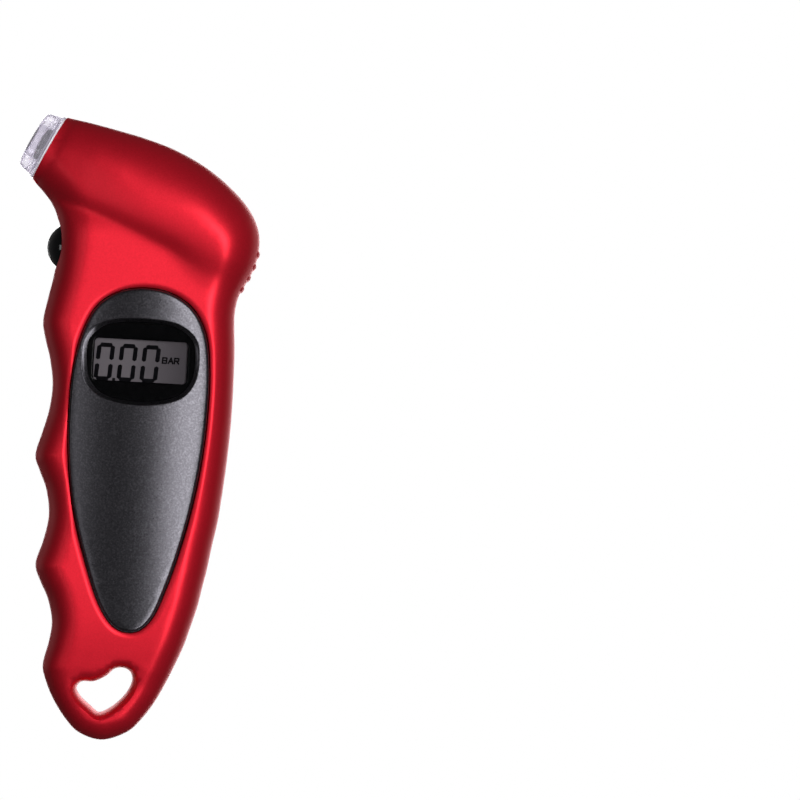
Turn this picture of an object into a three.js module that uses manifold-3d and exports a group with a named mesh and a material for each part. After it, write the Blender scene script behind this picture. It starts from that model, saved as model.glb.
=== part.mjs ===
// A digital tire pressure gauge with a pistol-shaped body: two shells, a raised display panel, a lit clear
// nozzle that fits over a tire valve, a push button, and the electronics, battery and air path inside.
// Millimetres. +Z runs up along the display panel, the display faces -Y, and the nozzle points towards -X
// and upwards.
import * as THREE from "three";
import { mergeVertices } from "three/addons/utils/BufferGeometryUtils.js";
import Module from "manifold-3d";

const wasm = await Module();
wasm.setup();

// ---- Driving dimensions ----

const FIT = 0.3; // gap left between a piece and its neighbour
const PARTING = 0.1; // gap between the two shells
const WALL = 2.2; // shell thickness
const FAR = 40; // longer than any wall that a tool has to pass through

const NOZZLE_TILT = THREE.MathUtils.degToRad(26.5); // nozzle above the -X direction
const NOZZLE_BASE = new THREE.Vector3(-26.05, 0, 66.3); // centre of the shells' round mouth
const MOUTH_RADIUS = 4.4; // passes a 7.7 mm valve stem
const MOUTH_FACE = 4.8; // how far the clear tip stands out of the shells
const TIP_RADIUS = 8.3; // of the clear tip's edge beside the shells
const TIP_GAP = 0.1; // between that edge and the shells
const SLEEVE_RADIUS = 5.9; // of the tip's sleeve inside the shells
const SEAL_FACE = 1.4; // the seal's height in the tip, where it can be seen through the clear plastic
const CHAMBER_RADIUS = 5.2; // of the air chamber behind the seal
const CHAMBER_NECK = 2.1;

const BUTTON_TILT = THREE.MathUtils.degToRad(8);
const BUTTON_BASE = new THREE.Vector3(-22.9, 0, 43.2); // on the shells' surface
const BUTTON_RADIUS = 6.0; // of its round dome and of its skirt
const BUTTON_RISE = 2.55; // how far the dome stands out of the shells
const BUTTON_COLLAR_DEPTH = 4.0; // of the shells' collar that guides the skirt
const BUTTON_COLLAR_RADIUS = 8.0;
const BUTTON_FLANGE_RADIUS = 7.2; // catches behind the collar
const BUTTON_FLANGE = -BUTTON_COLLAR_DEPTH - FIT;
const PLUNGER_RADIUS = 1.5;
const SWITCH_HALF = 3.1; // half of the switch's square side
const SWITCH_FRONT = -8.0;
const SWITCH_BACK = -11.8;

const PANEL_CENTRE_X = -1.5;
const PANEL_BACK = -11.6;
const PANEL_LEDGE = -11.3; // the front shell's seat for the panel
const PANEL_SEAT = 1.9; // width of the ledge under the panel's rim
const PANEL_EDGE_DROP = 2.0; // how much the panel falls away from its crown to its sides
const PANEL_HALF_WIDTH = 16.4;
const PANEL_STEPS = 44; // points round the panel's outline
const WINDOW_STEPS = 36; // points round the window's outline
const WINDOW_FLOOR = -12.7; // front face of the display lens
const LENS_THICKNESS = 0.45;
const FRAME_FRONT = -12.1; // face of the black frame behind the lens
const DISPLAY = { x: -1.6, z: 16.3 }; // centre of the display
const SIGHT = { halfWidth: 11.1, halfHeight: 5.0 }; // the part of the display that the frame leaves free
const LCD = { halfWidth: 11.4, halfHeight: 5.7, front: -11.1, back: -8.9 };

const BOARD_FRONT = -5.3;
const BOARD_BACK = -3.7;
const BOARD_SCREWS = [{ x: -1.5, z: 29.4 }, { x: -1.5, z: -27.0 }];
const BOARD_OUTLINE = [
  [-14, 31.6], [11, 31.6], [11.5, 5], [9, -14], [5, -30.5], [-8.5, -30.5], [-12.5, -14], [-14.5, 5],
];
const CHIP = { x: -1.5, z: 12, half: 4.5 };
const CELL = { x: -1.5, z: -11.5 }; // centre of the coin cell
const CELL_RADIUS = 10;
const CELL_FRONT = -2.8;
const CELL_BACK = 0.4;
const MOUNT = 0.05; // gap between the board and the pieces soldered to it

const SCREW_UPPER = { x: 15.0, z: 49.5 };
const SCREW_LOWER = { x: -9.6, z: -50.1 };
const SCREW_HOLE_RADIUS = 2.4; // passes a shell screw's head
const SCREW_SEAT = 4.1; // y of the seat under a shell screw's head
const SHELL_SCREW = { head: 2.0, shank: 1.0 };
const BOARD_SCREW = { head: 1.9, shank: 0.7 };

// The body is a loft. Each station is a rib across the body, from the finger edge to the spine edge:
// finger x, z, spine x, z, height of the front and of the back above the parting plane, and edge rounding.
const STATIONS = [
  [-29.8, 58.75, -22.3, 73.85, 8.45, 8.45, 8.45],
  [-28.7, 57.4, -16.7, 72.9, 10.2, 10.0, 9.2],
  [-27.7, 56.4, -10.5, 71.6, 11.8, 11.4, 9.8],
  [-26.8, 55.4, -3.3, 69.9, 13.2, 12.6, 10.6],
  [-25.9, 54.4, 4.1, 67.5, 14.4, 13.6, 11.4],
  [-25.2, 53.5, 11.5, 63.8, 15.2, 14.2, 12.0],
  [-24.6, 52.5, 17.7, 59.2, 15.6, 14.4, 12.0],
  [-24.1, 51.6, 22.4, 54.3, 15.3, 14.1, 11.5],
  [-23.7, 50.7, 24.9, 49.4, 14.4, 13.3, 10.5],
  [-23.4, 49.8, 25.3, 44.6, 13.0, 12.4, 9.5],
  [-23.2, 48.7, 24.3, 40.0, 12.1, 12.1, 8.6],
  [-23.05, 46.6, 22.6, 36.4, 12.2, 12.3, 8.0],
  [-23.0, 43.5, 21.1, 33.4, 12.5, 12.6, 7.6],
  [-23.1, 39.6, 20.5, 30.9, 12.5, 12.9, 7.2],
  [-23.6, 35.4, 20.3, 28.6, 12.5, 13.2, 7.0],
  [-24.6, 30.4, 20.35, 26.6, 12.5, 13.4, 6.8],
  [-25.5, 24.8, 20.5, 24.2, 12.5, 13.5, 6.6],
  [-24.7, 20.5, 20.8, 19.5, 12.5, 13.5, 6.5],
  [-23.3, 15.6, 20.9, 14.8, 12.5, 13.5, 6.5],
  [-22.4, 9.6, 20.95, 9.4, 12.5, 13.5, 6.5],
  [-22.9, 3.6, 20.9, 4.0, 12.5, 13.5, 6.5],
  [-24.2, -1.7, 20.7, -1.3, 12.5, 13.5, 6.5],
  [-25.6, -7.3, 20.35, -6.8, 12.5, 13.5, 6.5],
  [-24.4, -11.0, 19.95, -11.6, 12.5, 13.3, 6.5],
  [-22.5, -15.6, 19.5, -16.2, 12.5, 12.9, 6.5],
  [-21.6, -21.6, 18.9, -21.4, 12.5, 12.5, 6.5],
  [-22.6, -27.7, 17.9, -27.0, 12.5, 12.0, 6.5],
  [-24.15, -33.4, 16.9, -33.2, 12.4, 11.5, 6.5],
  [-22.7, -37.7, 16.0, -37.6, 12.3, 11.1, 6.4],
  [-20.8, -41.5, 15.2, -41.7, 12.1, 10.7, 6.3],
  [-19.5, -46.8, 13.8, -46.7, 11.7, 10.1, 6.2],
  [-19.9, -51.6, 12.3, -51.6, 11.0, 9.5, 6.0],
  [-21.1, -57.4, 10.1, -57.0, 9.9, 8.6, 5.8],
  [-20.2, -61.2, 8.2, -61.2, 8.9, 7.6, 5.6],
  [-18.2, -65.5, 6.0, -65.4, 8.3, 6.7, 5.4],
  [-15.2, -69.9, 3.3, -69.3, 7.9, 6.1, 5.2],
  [-11.6, -73.3, 0.0, -72.6, 7.4, 5.7, 5.0],
  [-5.9, -74.8, -5.9, -74.8, 7.0, 5.5, 5.0],
];
const HEART_INSET = 0.2; // the lanyard hole is this much smaller than its outline
const CAVITY_LAST_STATION = 29; // below it the body is solid, down to the lanyard loop

const THUMB_RIBS = [9.25, 9.9, 10.65, 11.5]; // station numbers
const THUMB_RIB_BEND = 16;
const THUMB_RIB_RADIUS = 1.35;
const THUMB_RIB_SINK = 0.95; // how deep a rib's middle lies in the shells

// Outline of the display panel, clockwise from its top.
const PANEL_OUTLINE = [
  [-1.0, 33.6], [5.4, 32.4], [10.4, 29.0], [13.5, 23.4], [14.8, 15.0], [14.9, 5.0],
  [14.3, -4.5], [12.9, -15.0], [10.6, -26.0], [7.4, -37.0], [4.2, -44.8], [1.3, -47.7],
  [-1.6, -48.2], [-4.6, -47.0], [-8.0, -42.5], [-12.3, -31.5], [-15.6, -20.0], [-17.3, -9.0],
  [-17.9, 2.0], [-17.4, 14.0], [-15.6, 22.6], [-12.4, 29.0], [-7.3, 32.5],
];
// Outline of the recess over the display, clockwise from its top.
const WINDOW_OUTLINE = [
  [-1.6, 26.2], [7.2, 25.1], [11.2, 21.8], [12.0, 17.4], [11.3, 11.9], [8.2, 8.0],
  [-0.8, 5.9], [-10.0, 7.2], [-14.1, 10.4], [-15.3, 14.6], [-15.0, 21.3], [-10.9, 24.9],
];
// Outline of the heart-shaped lanyard hole, from its upper left corner.
const HEART_OUTLINE = [
  [-12.9, -62.6], [-11.8, -60.9], [-8.6, -60.6], [-5.7, -59.1], [-3.9, -57.4], [-2.0, -57.0],
  [-0.1, -57.8], [0.7, -59.8], [-0.2, -62.7], [-2.5, -65.6], [-5.2, -67.7], [-7.1, -68.4],
  [-9.5, -66.7], [-11.9, -64.6],
];
// How far forward the panel's crown stands at each height, from its lower end to its top.
const PANEL_CROWN = [[-48.5, 11.9], [-33, 12.9], [-20, 13.9], [-4, 14.9], [6, 15.1], [20, 14.9], [34, 13.6]];

// Paths of the leads' centre lines inside the shells.
const SENSOR_LEAD = [
  [-3.2, 0, 54.6], [0.5, -0.6, 51], [3.6, -1.8, 44], [3.4, -2.6, 36.5], [3.0, -3.0, 31.5], [3.0, -3.1, 27],
];
const LED_LEAD = [
  [-21.4, 0, 56.3], [-17.6, 0, 53.6], [-11.5, 1.5, 51.2], [-6.2, 1.0, 44.0], [-5.6, -1.6, 35.0],
  [-7.0, -2.9, 31.0], [-7.6, -3.1, 27],
];
const SWITCH_LEAD = [
  [-9.6, 0, 37.0], [-8.0, 0, 34.6], [-11.2, -1.6, 32.4], [-11.2, -2.9, 30.2], [-11.2, -3.1, 26],
];

// ---- Materials ----

function finish(color, roughness, metalness) {
  return new THREE.MeshStandardMaterial({ color, roughness, metalness });
}

const red = () => finish(0xc41e34, 0.35, 0.4);
const gunmetal = () => finish(0x56545c, 0.4, 0.6);
const clear = () => finish(0xd8d4e4, 0.1, 0.0);
const blackPlastic = () => finish(0x141416, 0.3, 0.0);
const rubber = () => finish(0x1c1c1e, 0.8, 0.0);
const displayGlass = () => finish(0x968f96, 0.2, 0.0);
const diffuser = () => finish(0xe8e8e4, 0.5, 0.0);
const boardGreen = () => finish(0x1f6b3a, 0.5, 0.0);
const steel = () => finish(0xb8babd, 0.3, 1.0);
const brass = () => finish(0xc8a050, 0.3, 1.0);
const whiteResin = () => finish(0xf2efd8, 0.4, 0.0);
const greyInsulation = () => finish(0x707478, 0.6, 0.0);

// ---- Solids ----

// A closed geometry as a manifold-3d solid.
function solid(geometry) {
  const bare = geometry.clone();
  bare.deleteAttribute("normal");
  bare.deleteAttribute("uv");
  const merged = mergeVertices(bare, 1e-4);
  const index = merged.index.array;
  const triangles = [];
  for (let i = 0; i < index.length; i += 3) {
    const [a, b, c] = [index[i], index[i + 1], index[i + 2]];
    if (a !== b && b !== c && c !== a) triangles.push(a, b, c);
  }
  return new wasm.Manifold(
    new wasm.Mesh({
      numProp: 3,
      vertProperties: new Float32Array(merged.attributes.position.array),
      triVerts: new Uint32Array(triangles),
    }),
  );
}

// A manifold-3d solid as a three.js geometry.
function geometryOf(made) {
  const mesh = made.getMesh();
  const geometry = new THREE.BufferGeometry();
  geometry.setAttribute("position", new THREE.BufferAttribute(new Float32Array(mesh.vertProperties), 3));
  geometry.setIndex(new THREE.BufferAttribute(new Uint32Array(mesh.triVerts), 1));
  const flat = geometry.toNonIndexed();
  flat.computeVertexNormals();
  return flat;
}

function cut(from, ...tools) {
  return tools.reduce((made, tool) => made.subtract(tool), from);
}

function join(first, ...others) {
  return others.reduce((made, other) => made.add(other), first);
}

// ---- Shapes ----

// A closed solid through rings of points, each ring with the same number of points.
// The rings' order and each ring's turn are chosen so that faces point outwards, and flipped if they don't.
function loft(rings) {
  const count = rings[0].length;
  const position = [];
  const quad = (a, b, c, d) => position.push(...a, ...b, ...c, ...a, ...c, ...d);
  for (let i = 0; i + 1 < rings.length; i += 1) {
    for (let j = 0; j < count; j += 1) {
      const next = (j + 1) % count;
      quad(rings[i][j], rings[i][next], rings[i + 1][next], rings[i + 1][j]);
    }
  }
  const cap = (ring, reversed) => {
    for (const [a, b, c] of ringTriangles(ring)) {
      position.push(...ring[a], ...(reversed ? ring[b] : ring[c]), ...(reversed ? ring[c] : ring[b]));
    }
  };
  cap(rings[0], false);
  cap(rings[rings.length - 1], true);
  return outward(position);
}

// Triangles that fill a flat ring, as indices into it.
function ringTriangles(ring) {
  const points = ring.map((p) => new THREE.Vector3(...p));
  const normal = new THREE.Vector3();
  points.forEach((p, i) => normal.add(new THREE.Vector3().crossVectors(p, points[(i + 1) % points.length])));
  if (normal.length() < 1e-9) return [];
  const turn = new THREE.Quaternion().setFromUnitVectors(normal.normalize(), new THREE.Vector3(0, 0, 1));
  const flat = points.map((p) => p.applyQuaternion(turn)).map((p) => new THREE.Vector2(p.x, p.y));
  return THREE.ShapeUtils.triangulateShape(flat, []);
}

function outward(position) {
  const geometry = new THREE.BufferGeometry();
  geometry.setAttribute("position", new THREE.BufferAttribute(new Float32Array(position), 3));
  const made = solid(geometry);
  if (made.volume() > 0) return made;
  const flipped = [];
  for (let i = 0; i < position.length; i += 9) {
    const corner = (n) => position.slice(i + 3 * n, i + 3 * n + 3);
    flipped.push(...corner(0), ...corner(2), ...corner(1));
  }
  geometry.setAttribute("position", new THREE.BufferAttribute(new Float32Array(flipped), 3));
  return solid(geometry);
}

// Points on a closed smooth curve through an outline, moved outwards by grow.
function smoothOutline(outline, count, grow = 0) {
  const curve = new THREE.CatmullRomCurve3(
    outline.map(([x, z]) => new THREE.Vector3(x, 0, z)),
    true,
    "centripetal",
  );
  const points = [];
  for (let i = 0; i < count; i += 1) {
    const at = curve.getPointAt(i / count);
    const along = curve.getTangentAt(i / count);
    points.push([at.x - along.z * grow, at.z + along.x * grow]);
  }
  return points;
}

// An outline in X and Z, as a prism from one Y to another.
function prism(points, fromY, toY) {
  return loft([points.map(([x, z]) => [x, fromY, z]), points.map(([x, z]) => [x, toY, z])]);
}

// A box between two corners.
function box([x0, y0, z0], [x1, y1, z1]) {
  const geometry = new THREE.BoxGeometry(x1 - x0, y1 - y0, z1 - z0);
  geometry.translate((x0 + x1) / 2, (y0 + y1) / 2, (z0 + z1) / 2);
  return solid(geometry);
}

// A box about a place in X and Z, from one Y to another.
function around(centre, halfX, halfZ, fromY, toY) {
  return box([centre.x - halfX, fromY, centre.z - halfZ], [centre.x + halfX, toY, centre.z + halfZ]);
}

// A round rod along Y.
function rod(at, radius, fromY, toY, segments = 24) {
  const geometry = new THREE.CylinderGeometry(radius, radius, toY - fromY, segments);
  geometry.translate(at.x, (fromY + toY) / 2, at.z);
  return solid(geometry);
}

// A turned solid about its own Z, from a closed profile of [radius, height] points.
function turned(profile, segments = 24) {
  const points = profile.map(([radius, height]) => new THREE.Vector2(radius, height));
  const onAxis = profile[0][0] === 0 && profile[profile.length - 1][0] === 0;
  if (!onAxis) points.push(points[0].clone());
  const geometry = new THREE.LatheGeometry(points, segments);
  geometry.rotateX(Math.PI / 2);
  const position = [...geometry.toNonIndexed().attributes.position.array];
  return outward(position);
}

function moved(made, matrix) {
  return solid(geometryOf(made).applyMatrix4(matrix));
}

// A flat lead along a smooth path.
function lead(path, width, thickness) {
  const corners = [[-0.5, -0.5], [0.5, -0.5], [0.5, 0.5], [-0.5, 0.5]];
  const section = new THREE.Shape(corners.map(([a, b]) => new THREE.Vector2(a * thickness, b * width)));
  const curve = new THREE.CatmullRomCurve3(path.map((p) => new THREE.Vector3(...p)));
  const geometry = new THREE.ExtrudeGeometry(section, { steps: 24, extrudePath: curve });
  return outward([...geometry.attributes.position.array]);
}

// ---- The body's surface ----

function edgeCurve(column) {
  return new THREE.CatmullRomCurve3(
    STATIONS.map((station) => new THREE.Vector3(station[column], 0, station[column + 1])),
    false,
    "catmullrom",
    0.5,
  );
}

const FINGER_EDGE = edgeCurve(0);
const SPINE_EDGE = edgeCurve(2);
const EDGE_POINTS = [FINGER_EDGE, SPINE_EDGE].map((edge) => edge.getPoints(3 * (STATIONS.length - 1)));

// A station's value at a fractional station number.
function stationValue(column, at) {
  const low = Math.min(Math.floor(at), STATIONS.length - 2);
  const share = at - low;
  const eased = share * share * (3 - 2 * share);
  return STATIONS[low][column] * (1 - eased) + STATIONS[low + 1][column] * eased;
}

// Distance from a point of the parting plane to the body's two edges.
function edgeDistance(x, z) {
  const here = new THREE.Vector3(x, 0, z);
  const nearest = new THREE.Vector3();
  const line = new THREE.Line3();
  let best = Infinity;
  for (const points of EDGE_POINTS) {
    for (let i = 0; i + 1 < points.length; i += 1) {
      line.set(points[i], points[i + 1]).closestPointToPoint(here, true, nearest);
      best = Math.min(best, nearest.distanceTo(here));
    }
  }
  return best;
}

// The outline's rounding: 0 at the edge, 1 from a full rounding inwards.
function rounded(share) {
  const inward = Math.max(0, 1 - Math.max(0, share));
  return Math.sqrt(1 - inward * inward);
}

// One rib of the body, as points across it: side -1 is the front and 1 the back, inset is 0 or the wall.
function rib(at, side, inset, columns) {
  const share = at / (STATIONS.length - 1);
  const ends = [FINGER_EDGE, SPINE_EDGE].map((edge, which) => {
    const point = edge.getPoint(share);
    const along = edge.getTangent(share);
    const inward = which === 0 ? 1 : -1;
    return [point.x - along.z * inset * inward, point.z + along.x * inset * inward];
  });
  const height = stationValue(side < 0 ? 4 : 5, at) - inset;
  const rounding = stationValue(6, at) - inset;
  const points = [];
  for (let i = 0; i <= columns; i += 1) {
    const across = 0.5 - 0.5 * Math.cos((Math.PI * i) / columns);
    const x = ends[0][0] + (ends[1][0] - ends[0][0]) * across;
    const z = ends[0][1] + (ends[1][1] - ends[0][1]) * across;
    const end = i === 0 || i === columns;
    const rise = end ? 0 : height * rounded((edgeDistance(x, z) - inset) / rounding);
    points.push([x, side * (PARTING / 2 + rise), z]);
  }
  return points;
}

function stationNumbers(last, perStation) {
  const numbers = [];
  for (let i = 0; i <= last * perStation; i += 1) numbers.push(i / perStation);
  return numbers;
}

// Half of the body as a solid block, split at the parting plane.
function halfBlock(side) {
  return loft(stationNumbers(STATIONS.length - 1, 2).map((at) => rib(at, side, 0, 12)));
}

// The hollow inside one half, run out through the parting plane and the round mouth.
function halfCavity(side) {
  const past = -side * 2;
  const rings = stationNumbers(CAVITY_LAST_STATION, 1).map((at) => {
    const across = rib(at, side, WALL, 10);
    const first = across[0];
    const last = across[across.length - 1];
    return [...across, [last[0], past, last[2]], [first[0], past, first[2]]];
  });
  const outwards = [-Math.cos(NOZZLE_TILT), 0, Math.sin(NOZZLE_TILT)];
  const mouth = rings[0].map((p) => p.map((value, axis) => value + 2 * outwards[axis]));
  return loft([mouth, ...rings]);
}

// The heart-shaped lanyard hole through one half, with a flared rim.
function lanyardHole(side) {
  const ring = (grow, y) => {
    const outline = smoothOutline(HEART_OUTLINE, 32, grow - HEART_INSET);
    return outline.map(([x, z]) => [x, side * y, z]);
  };
  return loft([ring(0, -2), ring(0, 1.5), ring(0.5, 3.2), ring(1.8, 5.4), ring(5.0, 8.6), ring(7.5, 11.0)]);
}

// A small rib for the thumb across the spine edge: a slice of a ring that follows the edge's round section.
function thumbRib(at) {
  const share = at / (STATIONS.length - 1);
  const point = SPINE_EDGE.getPoint(share);
  const along = SPINE_EDGE.getTangent(share);
  const outwards = new THREE.Vector3(-along.z, 0, along.x);
  const ring = new THREE.TorusGeometry(THUMB_RIB_BEND, THUMB_RIB_RADIUS, 8, 60);
  ring.translate(-THUMB_RIB_BEND - THUMB_RIB_SINK, 0, 0);
  const frame = new THREE.Matrix4().makeBasis(outwards, new THREE.Vector3(0, 1, 0), along.clone().negate());
  if (frame.determinant() < 0) frame.makeBasis(outwards, new THREE.Vector3(0, 1, 0), along);
  frame.setPosition(point);
  const slice = solid(ring).intersect(box([-3.2, -30, -5], [5, 30, 5]));
  return moved(slice, frame);
}

// ---- Turned frames ----

function turnedGroup(base, tilt) {
  const group = new THREE.Group();
  group.position.copy(base);
  group.rotation.y = tilt - Math.PI / 2;
  group.updateMatrix();
  return group;
}

const nozzleGroup = turnedGroup(NOZZLE_BASE, NOZZLE_TILT);
const buttonGroup = turnedGroup(BUTTON_BASE, BUTTON_TILT);

// ---- Shells ----

// A tube about a turned frame's Z.
function tube(inner, outer, from, to, segments) {
  return turned([[inner, from], [outer, from], [outer, to], [inner, to]], segments);
}

// Ribs inside both shells: a collar round the button and a saddle under the air chamber.
function innerRibs() {
  const collar = tube(BUTTON_RADIUS + FIT, BUTTON_COLLAR_RADIUS, -BUTTON_COLLAR_DEPTH, 1);
  const saddle = tube(CHAMBER_RADIUS + FIT, FAR, -12.5, -11.0).intersect(box([-3, -FAR, -20], [FAR, FAR, 0]));
  return [moved(collar, buttonGroup.matrix), moved(saddle, nozzleGroup.matrix)];
}

function buttonHole() {
  return moved(tube(0, BUTTON_RADIUS + FIT, -BUTTON_COLLAR_DEPTH - 1, 6), buttonGroup.matrix);
}

// The half space of one shell.
function halfSpace(side) {
  const near = (side * PARTING) / 2;
  const reach = 3 * FAR;
  const [fromY, toY] = side < 0 ? [-FAR, near] : [near, FAR];
  return box([-reach, fromY, -reach], [reach, toY, reach]);
}

function shell(side, posts) {
  const thumbRibs = join(...THUMB_RIBS.map(thumbRib)).intersect(halfSpace(side));
  const block = join(halfBlock(side), thumbRibs);
  const inside = join(...innerRibs(), ...posts).intersect(block).intersect(halfSpace(side));
  return cut(join(cut(block, halfCavity(side)), inside), buttonHole(), lanyardHole(side));
}

function frontShell() {
  const posts = [rod(SCREW_UPPER, 3.0, -FAR, 0), rod(SCREW_LOWER, 3.0, -FAR, 0)];
  const pilots = [rod(SCREW_UPPER, 1.2, -10, 2, 16), rod(SCREW_LOWER, 1.2, -7.5, 2, 16)];
  const pocket = prism(smoothOutline(PANEL_OUTLINE, PANEL_STEPS, FIT), -FAR, PANEL_LEDGE);
  const opening = prism(smoothOutline(PANEL_OUTLINE, PANEL_STEPS, -PANEL_SEAT), -FAR, -8.5);
  return cut(shell(-1, posts), ...pilots, pocket, opening);
}

function rearShell() {
  const posts = [rod(SCREW_UPPER, 4.0, 0, FAR), rod(SCREW_LOWER, 4.0, 0, FAR)];
  const holes = [SCREW_UPPER, SCREW_LOWER].flatMap((at) => [
    rod(at, SCREW_HOLE_RADIUS, 3.0, FAR),
    rod(at, 1.6, -2, 4, 16),
  ]);
  return cut(shell(1, posts), ...holes);
}

// A pan-head screw driven from the back, with a cross recess in its head.
function screw(at, seat, size, length) {
  const head = rod(at, size.head, seat, seat + 1.6, 20);
  const shank = rod(at, size.shank, seat - length, seat, 12);
  const slot = (across, along) => around(at, across, along, seat + 0.7, seat + 3);
  const reach = size.head * 0.6;
  return cut(join(head, shank), slot(reach, 0.3), slot(0.3, reach));
}

// ---- Display ----

// y of the panel's crowned front.
function panelFront(x, z) {
  const above = PANEL_CROWN.findIndex(([at], i) => i > 0 && at >= z);
  const upper = above < 0 ? PANEL_CROWN.length - 1 : above;
  const [lowZ, lowCrown] = PANEL_CROWN[upper - 1];
  const crown = THREE.MathUtils.mapLinear(z, lowZ, PANEL_CROWN[upper][0], lowCrown, PANEL_CROWN[upper][1]);
  const across = (x - PANEL_CENTRE_X) / PANEL_HALF_WIDTH;
  return -crown + PANEL_EDGE_DROP * across * across;
}

// The panel's rings from its back to its crown: how much each is scaled, and lowered from the crown.
const PANEL_RINGS = [[1, 0.6], [0.985, 0.15], [0.95, 0], [0.75, 0], [0.45, 0], [0.15, 0]];

// The panel: an egg-shaped plate with a crowned front and a rounded rim.
function panelPlate() {
  const centreZ = -7;
  const outline = smoothOutline(PANEL_OUTLINE, PANEL_STEPS);
  const ring = ([scale, lowered]) =>
    outline.map(([fullX, fullZ]) => {
      const x = PANEL_CENTRE_X + (fullX - PANEL_CENTRE_X) * scale;
      const z = centreZ + (fullZ - centreZ) * scale;
      return [x, panelFront(x, z) + lowered, z];
    });
  return loft([outline.map(([x, z]) => [x, PANEL_BACK, z]), ...PANEL_RINGS.map(ring)]);
}

// The plate with its window, and two posts behind it for the board.
function displayPanel() {
  const posts = BOARD_SCREWS.map((at) => rod(at, 2.0, PANEL_BACK - 1, BOARD_FRONT - 0.1, 20));
  const pilots = BOARD_SCREWS.map((at) => rod(at, 0.9, BOARD_FRONT - 4.5, BOARD_FRONT + 1, 12));
  const window = prism(smoothOutline(WINDOW_OUTLINE, WINDOW_STEPS), -FAR, PANEL_BACK + 1);
  return cut(join(cut(panelPlate(), window), ...posts), ...pilots);
}

// A slice of the window's shape, smaller all round by the inset.
function windowSlice(inset, fromY, toY) {
  return prism(smoothOutline(WINDOW_OUTLINE, WINDOW_STEPS, -inset), fromY, toY);
}

function displayLens() {
  return windowSlice(FIT, WINDOW_FLOOR, WINDOW_FLOOR + LENS_THICKNESS);
}

// The black frame: a face that fills the window behind the lens, and a narrower tray that holds the display.
function lcdFrame() {
  const face = windowSlice(FIT, FRAME_FRONT, PANEL_BACK);
  const tray = windowSlice(1.0, PANEL_BACK - 0.2, BOARD_FRONT - 0.1);
  const sight = around(DISPLAY, SIGHT.halfWidth, SIGHT.halfHeight, -FAR, 0);
  const pocket = around(DISPLAY, LCD.halfWidth + 0.2, LCD.halfHeight + 0.2, LCD.front - 0.1, 0);
  return cut(join(face, tray), sight, pocket);
}

function lcdGlass() {
  return around(DISPLAY, LCD.halfWidth, LCD.halfHeight, LCD.front, LCD.back);
}

function backlightPlate() {
  return around({ x: DISPLAY.x, z: DISPLAY.z + 1.0 }, 11.2, 4.6, LCD.back + 0.1, LCD.back + 1.6);
}

function lcdConnector() {
  return around({ x: DISPLAY.x, z: DISPLAY.z - 4.6 }, 10.5, 0.8, LCD.back + 0.1, BOARD_FRONT - 0.1);
}

// ---- Board, battery ----

function mainBoard() {
  const holes = BOARD_SCREWS.map((at) => rod(at, 1.4, BOARD_FRONT - 1, BOARD_BACK + 1, 16));
  return cut(prism(BOARD_OUTLINE, BOARD_FRONT, BOARD_BACK), ...holes);
}

function controllerChip() {
  return around(CHIP, CHIP.half, CHIP.half, BOARD_BACK + MOUNT, BOARD_BACK + 1.3);
}

function coinCell() {
  const can = rod(CELL, CELL_RADIUS, CELL_FRONT + 0.5, CELL_BACK, 40);
  const cap = rod(CELL, CELL_RADIUS - 1.4, CELL_FRONT, CELL_FRONT + 0.6, 40);
  return join(can, cap);
}

// A sprung strap over the cell, with a foot on the board at each side.
function batteryClip() {
  const reach = CELL_RADIUS + 1.0;
  const strap = around(CELL, 3.0, reach, CELL_BACK + 0.1, CELL_BACK + 0.6);
  const leg = (side) =>
    around({ x: CELL.x, z: CELL.z + side * (reach - 0.25) }, 3.0, 0.25, BOARD_BACK + MOUNT, CELL_BACK + 0.2);
  return join(strap, leg(-1), leg(1));
}

function batteryContact() {
  return rod(CELL, 5.0, BOARD_BACK + MOUNT, CELL_FRONT - 0.1, 24);
}

// ---- Nozzle, in the nozzle's frame: Z runs out of the mouth, 0 at the shells' round edge ----

// The clear tip: a tapered nose outside the shells and a sleeve inside them.
function nozzleTip() {
  return turned([
    [MOUTH_RADIUS, -6.2], [SLEEVE_RADIUS, -6.2], [SLEEVE_RADIUS, TIP_GAP], [TIP_RADIUS, TIP_GAP],
    [TIP_RADIUS, 0.7], [7.95, 1.1], [7.35, 3.6], [7.0, 4.3],
    [6.4, 4.7], [6.0, MOUTH_FACE], [4.9, MOUTH_FACE], [4.55, 4.65], [MOUTH_RADIUS, 4.3],
  ], 32);
}

function nozzleSeal() {
  const outer = MOUTH_RADIUS - FIT;
  return turned([
    [2.0, -3.0], [outer, -3.0], [outer, SEAL_FACE - 0.3], [3.8, SEAL_FACE],
    [2.5, SEAL_FACE], [2.0, SEAL_FACE - 0.4],
  ]);
}

// The hollow pin that pushes the valve's core open, with a bore and a wider head.
function valveDepressor() {
  const head = SEAL_FACE + 0.2;
  return turned([
    [0.6, -9.0], [0.95, -9.0], [0.95, head - 1.5], [1.7, head - 1.5],
    [1.7, head - 0.3], [1.4, head], [0.6, head],
  ], 16);
}

function airChamber() {
  return turned([
    [1.25, -3.3], [4.0, -3.3], [4.0, -4.9], [CHAMBER_NECK, -4.9], [CHAMBER_NECK, -9.4],
    [CHAMBER_RADIUS, -9.4], [CHAMBER_RADIUS, -17.5], [1.25, -17.5],
  ]);
}

function ledBoard() {
  return tube(CHAMBER_NECK + FIT, 5.7, -8.7, -7.7);
}

function nozzleLed(side) {
  return box([side * 4.3 - 0.9, -0.9, -7.7 + 0.35], [side * 4.3 + 0.9, 0.9, -6.5]);
}

function sensorORing() {
  const geometry = new THREE.TorusGeometry(2.8, 0.5, 6, 18);
  geometry.translate(0, 0, -18.35);
  return solid(geometry);
}

function pressureSensor() {
  return turned([
    [0, -24.0], [3.2, -24.0], [3.2, -22.6], [4.6, -22.6],
    [4.6, -19.2], [1.0, -19.2], [1.0, -20.2], [0, -20.2],
  ]);
}

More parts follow.
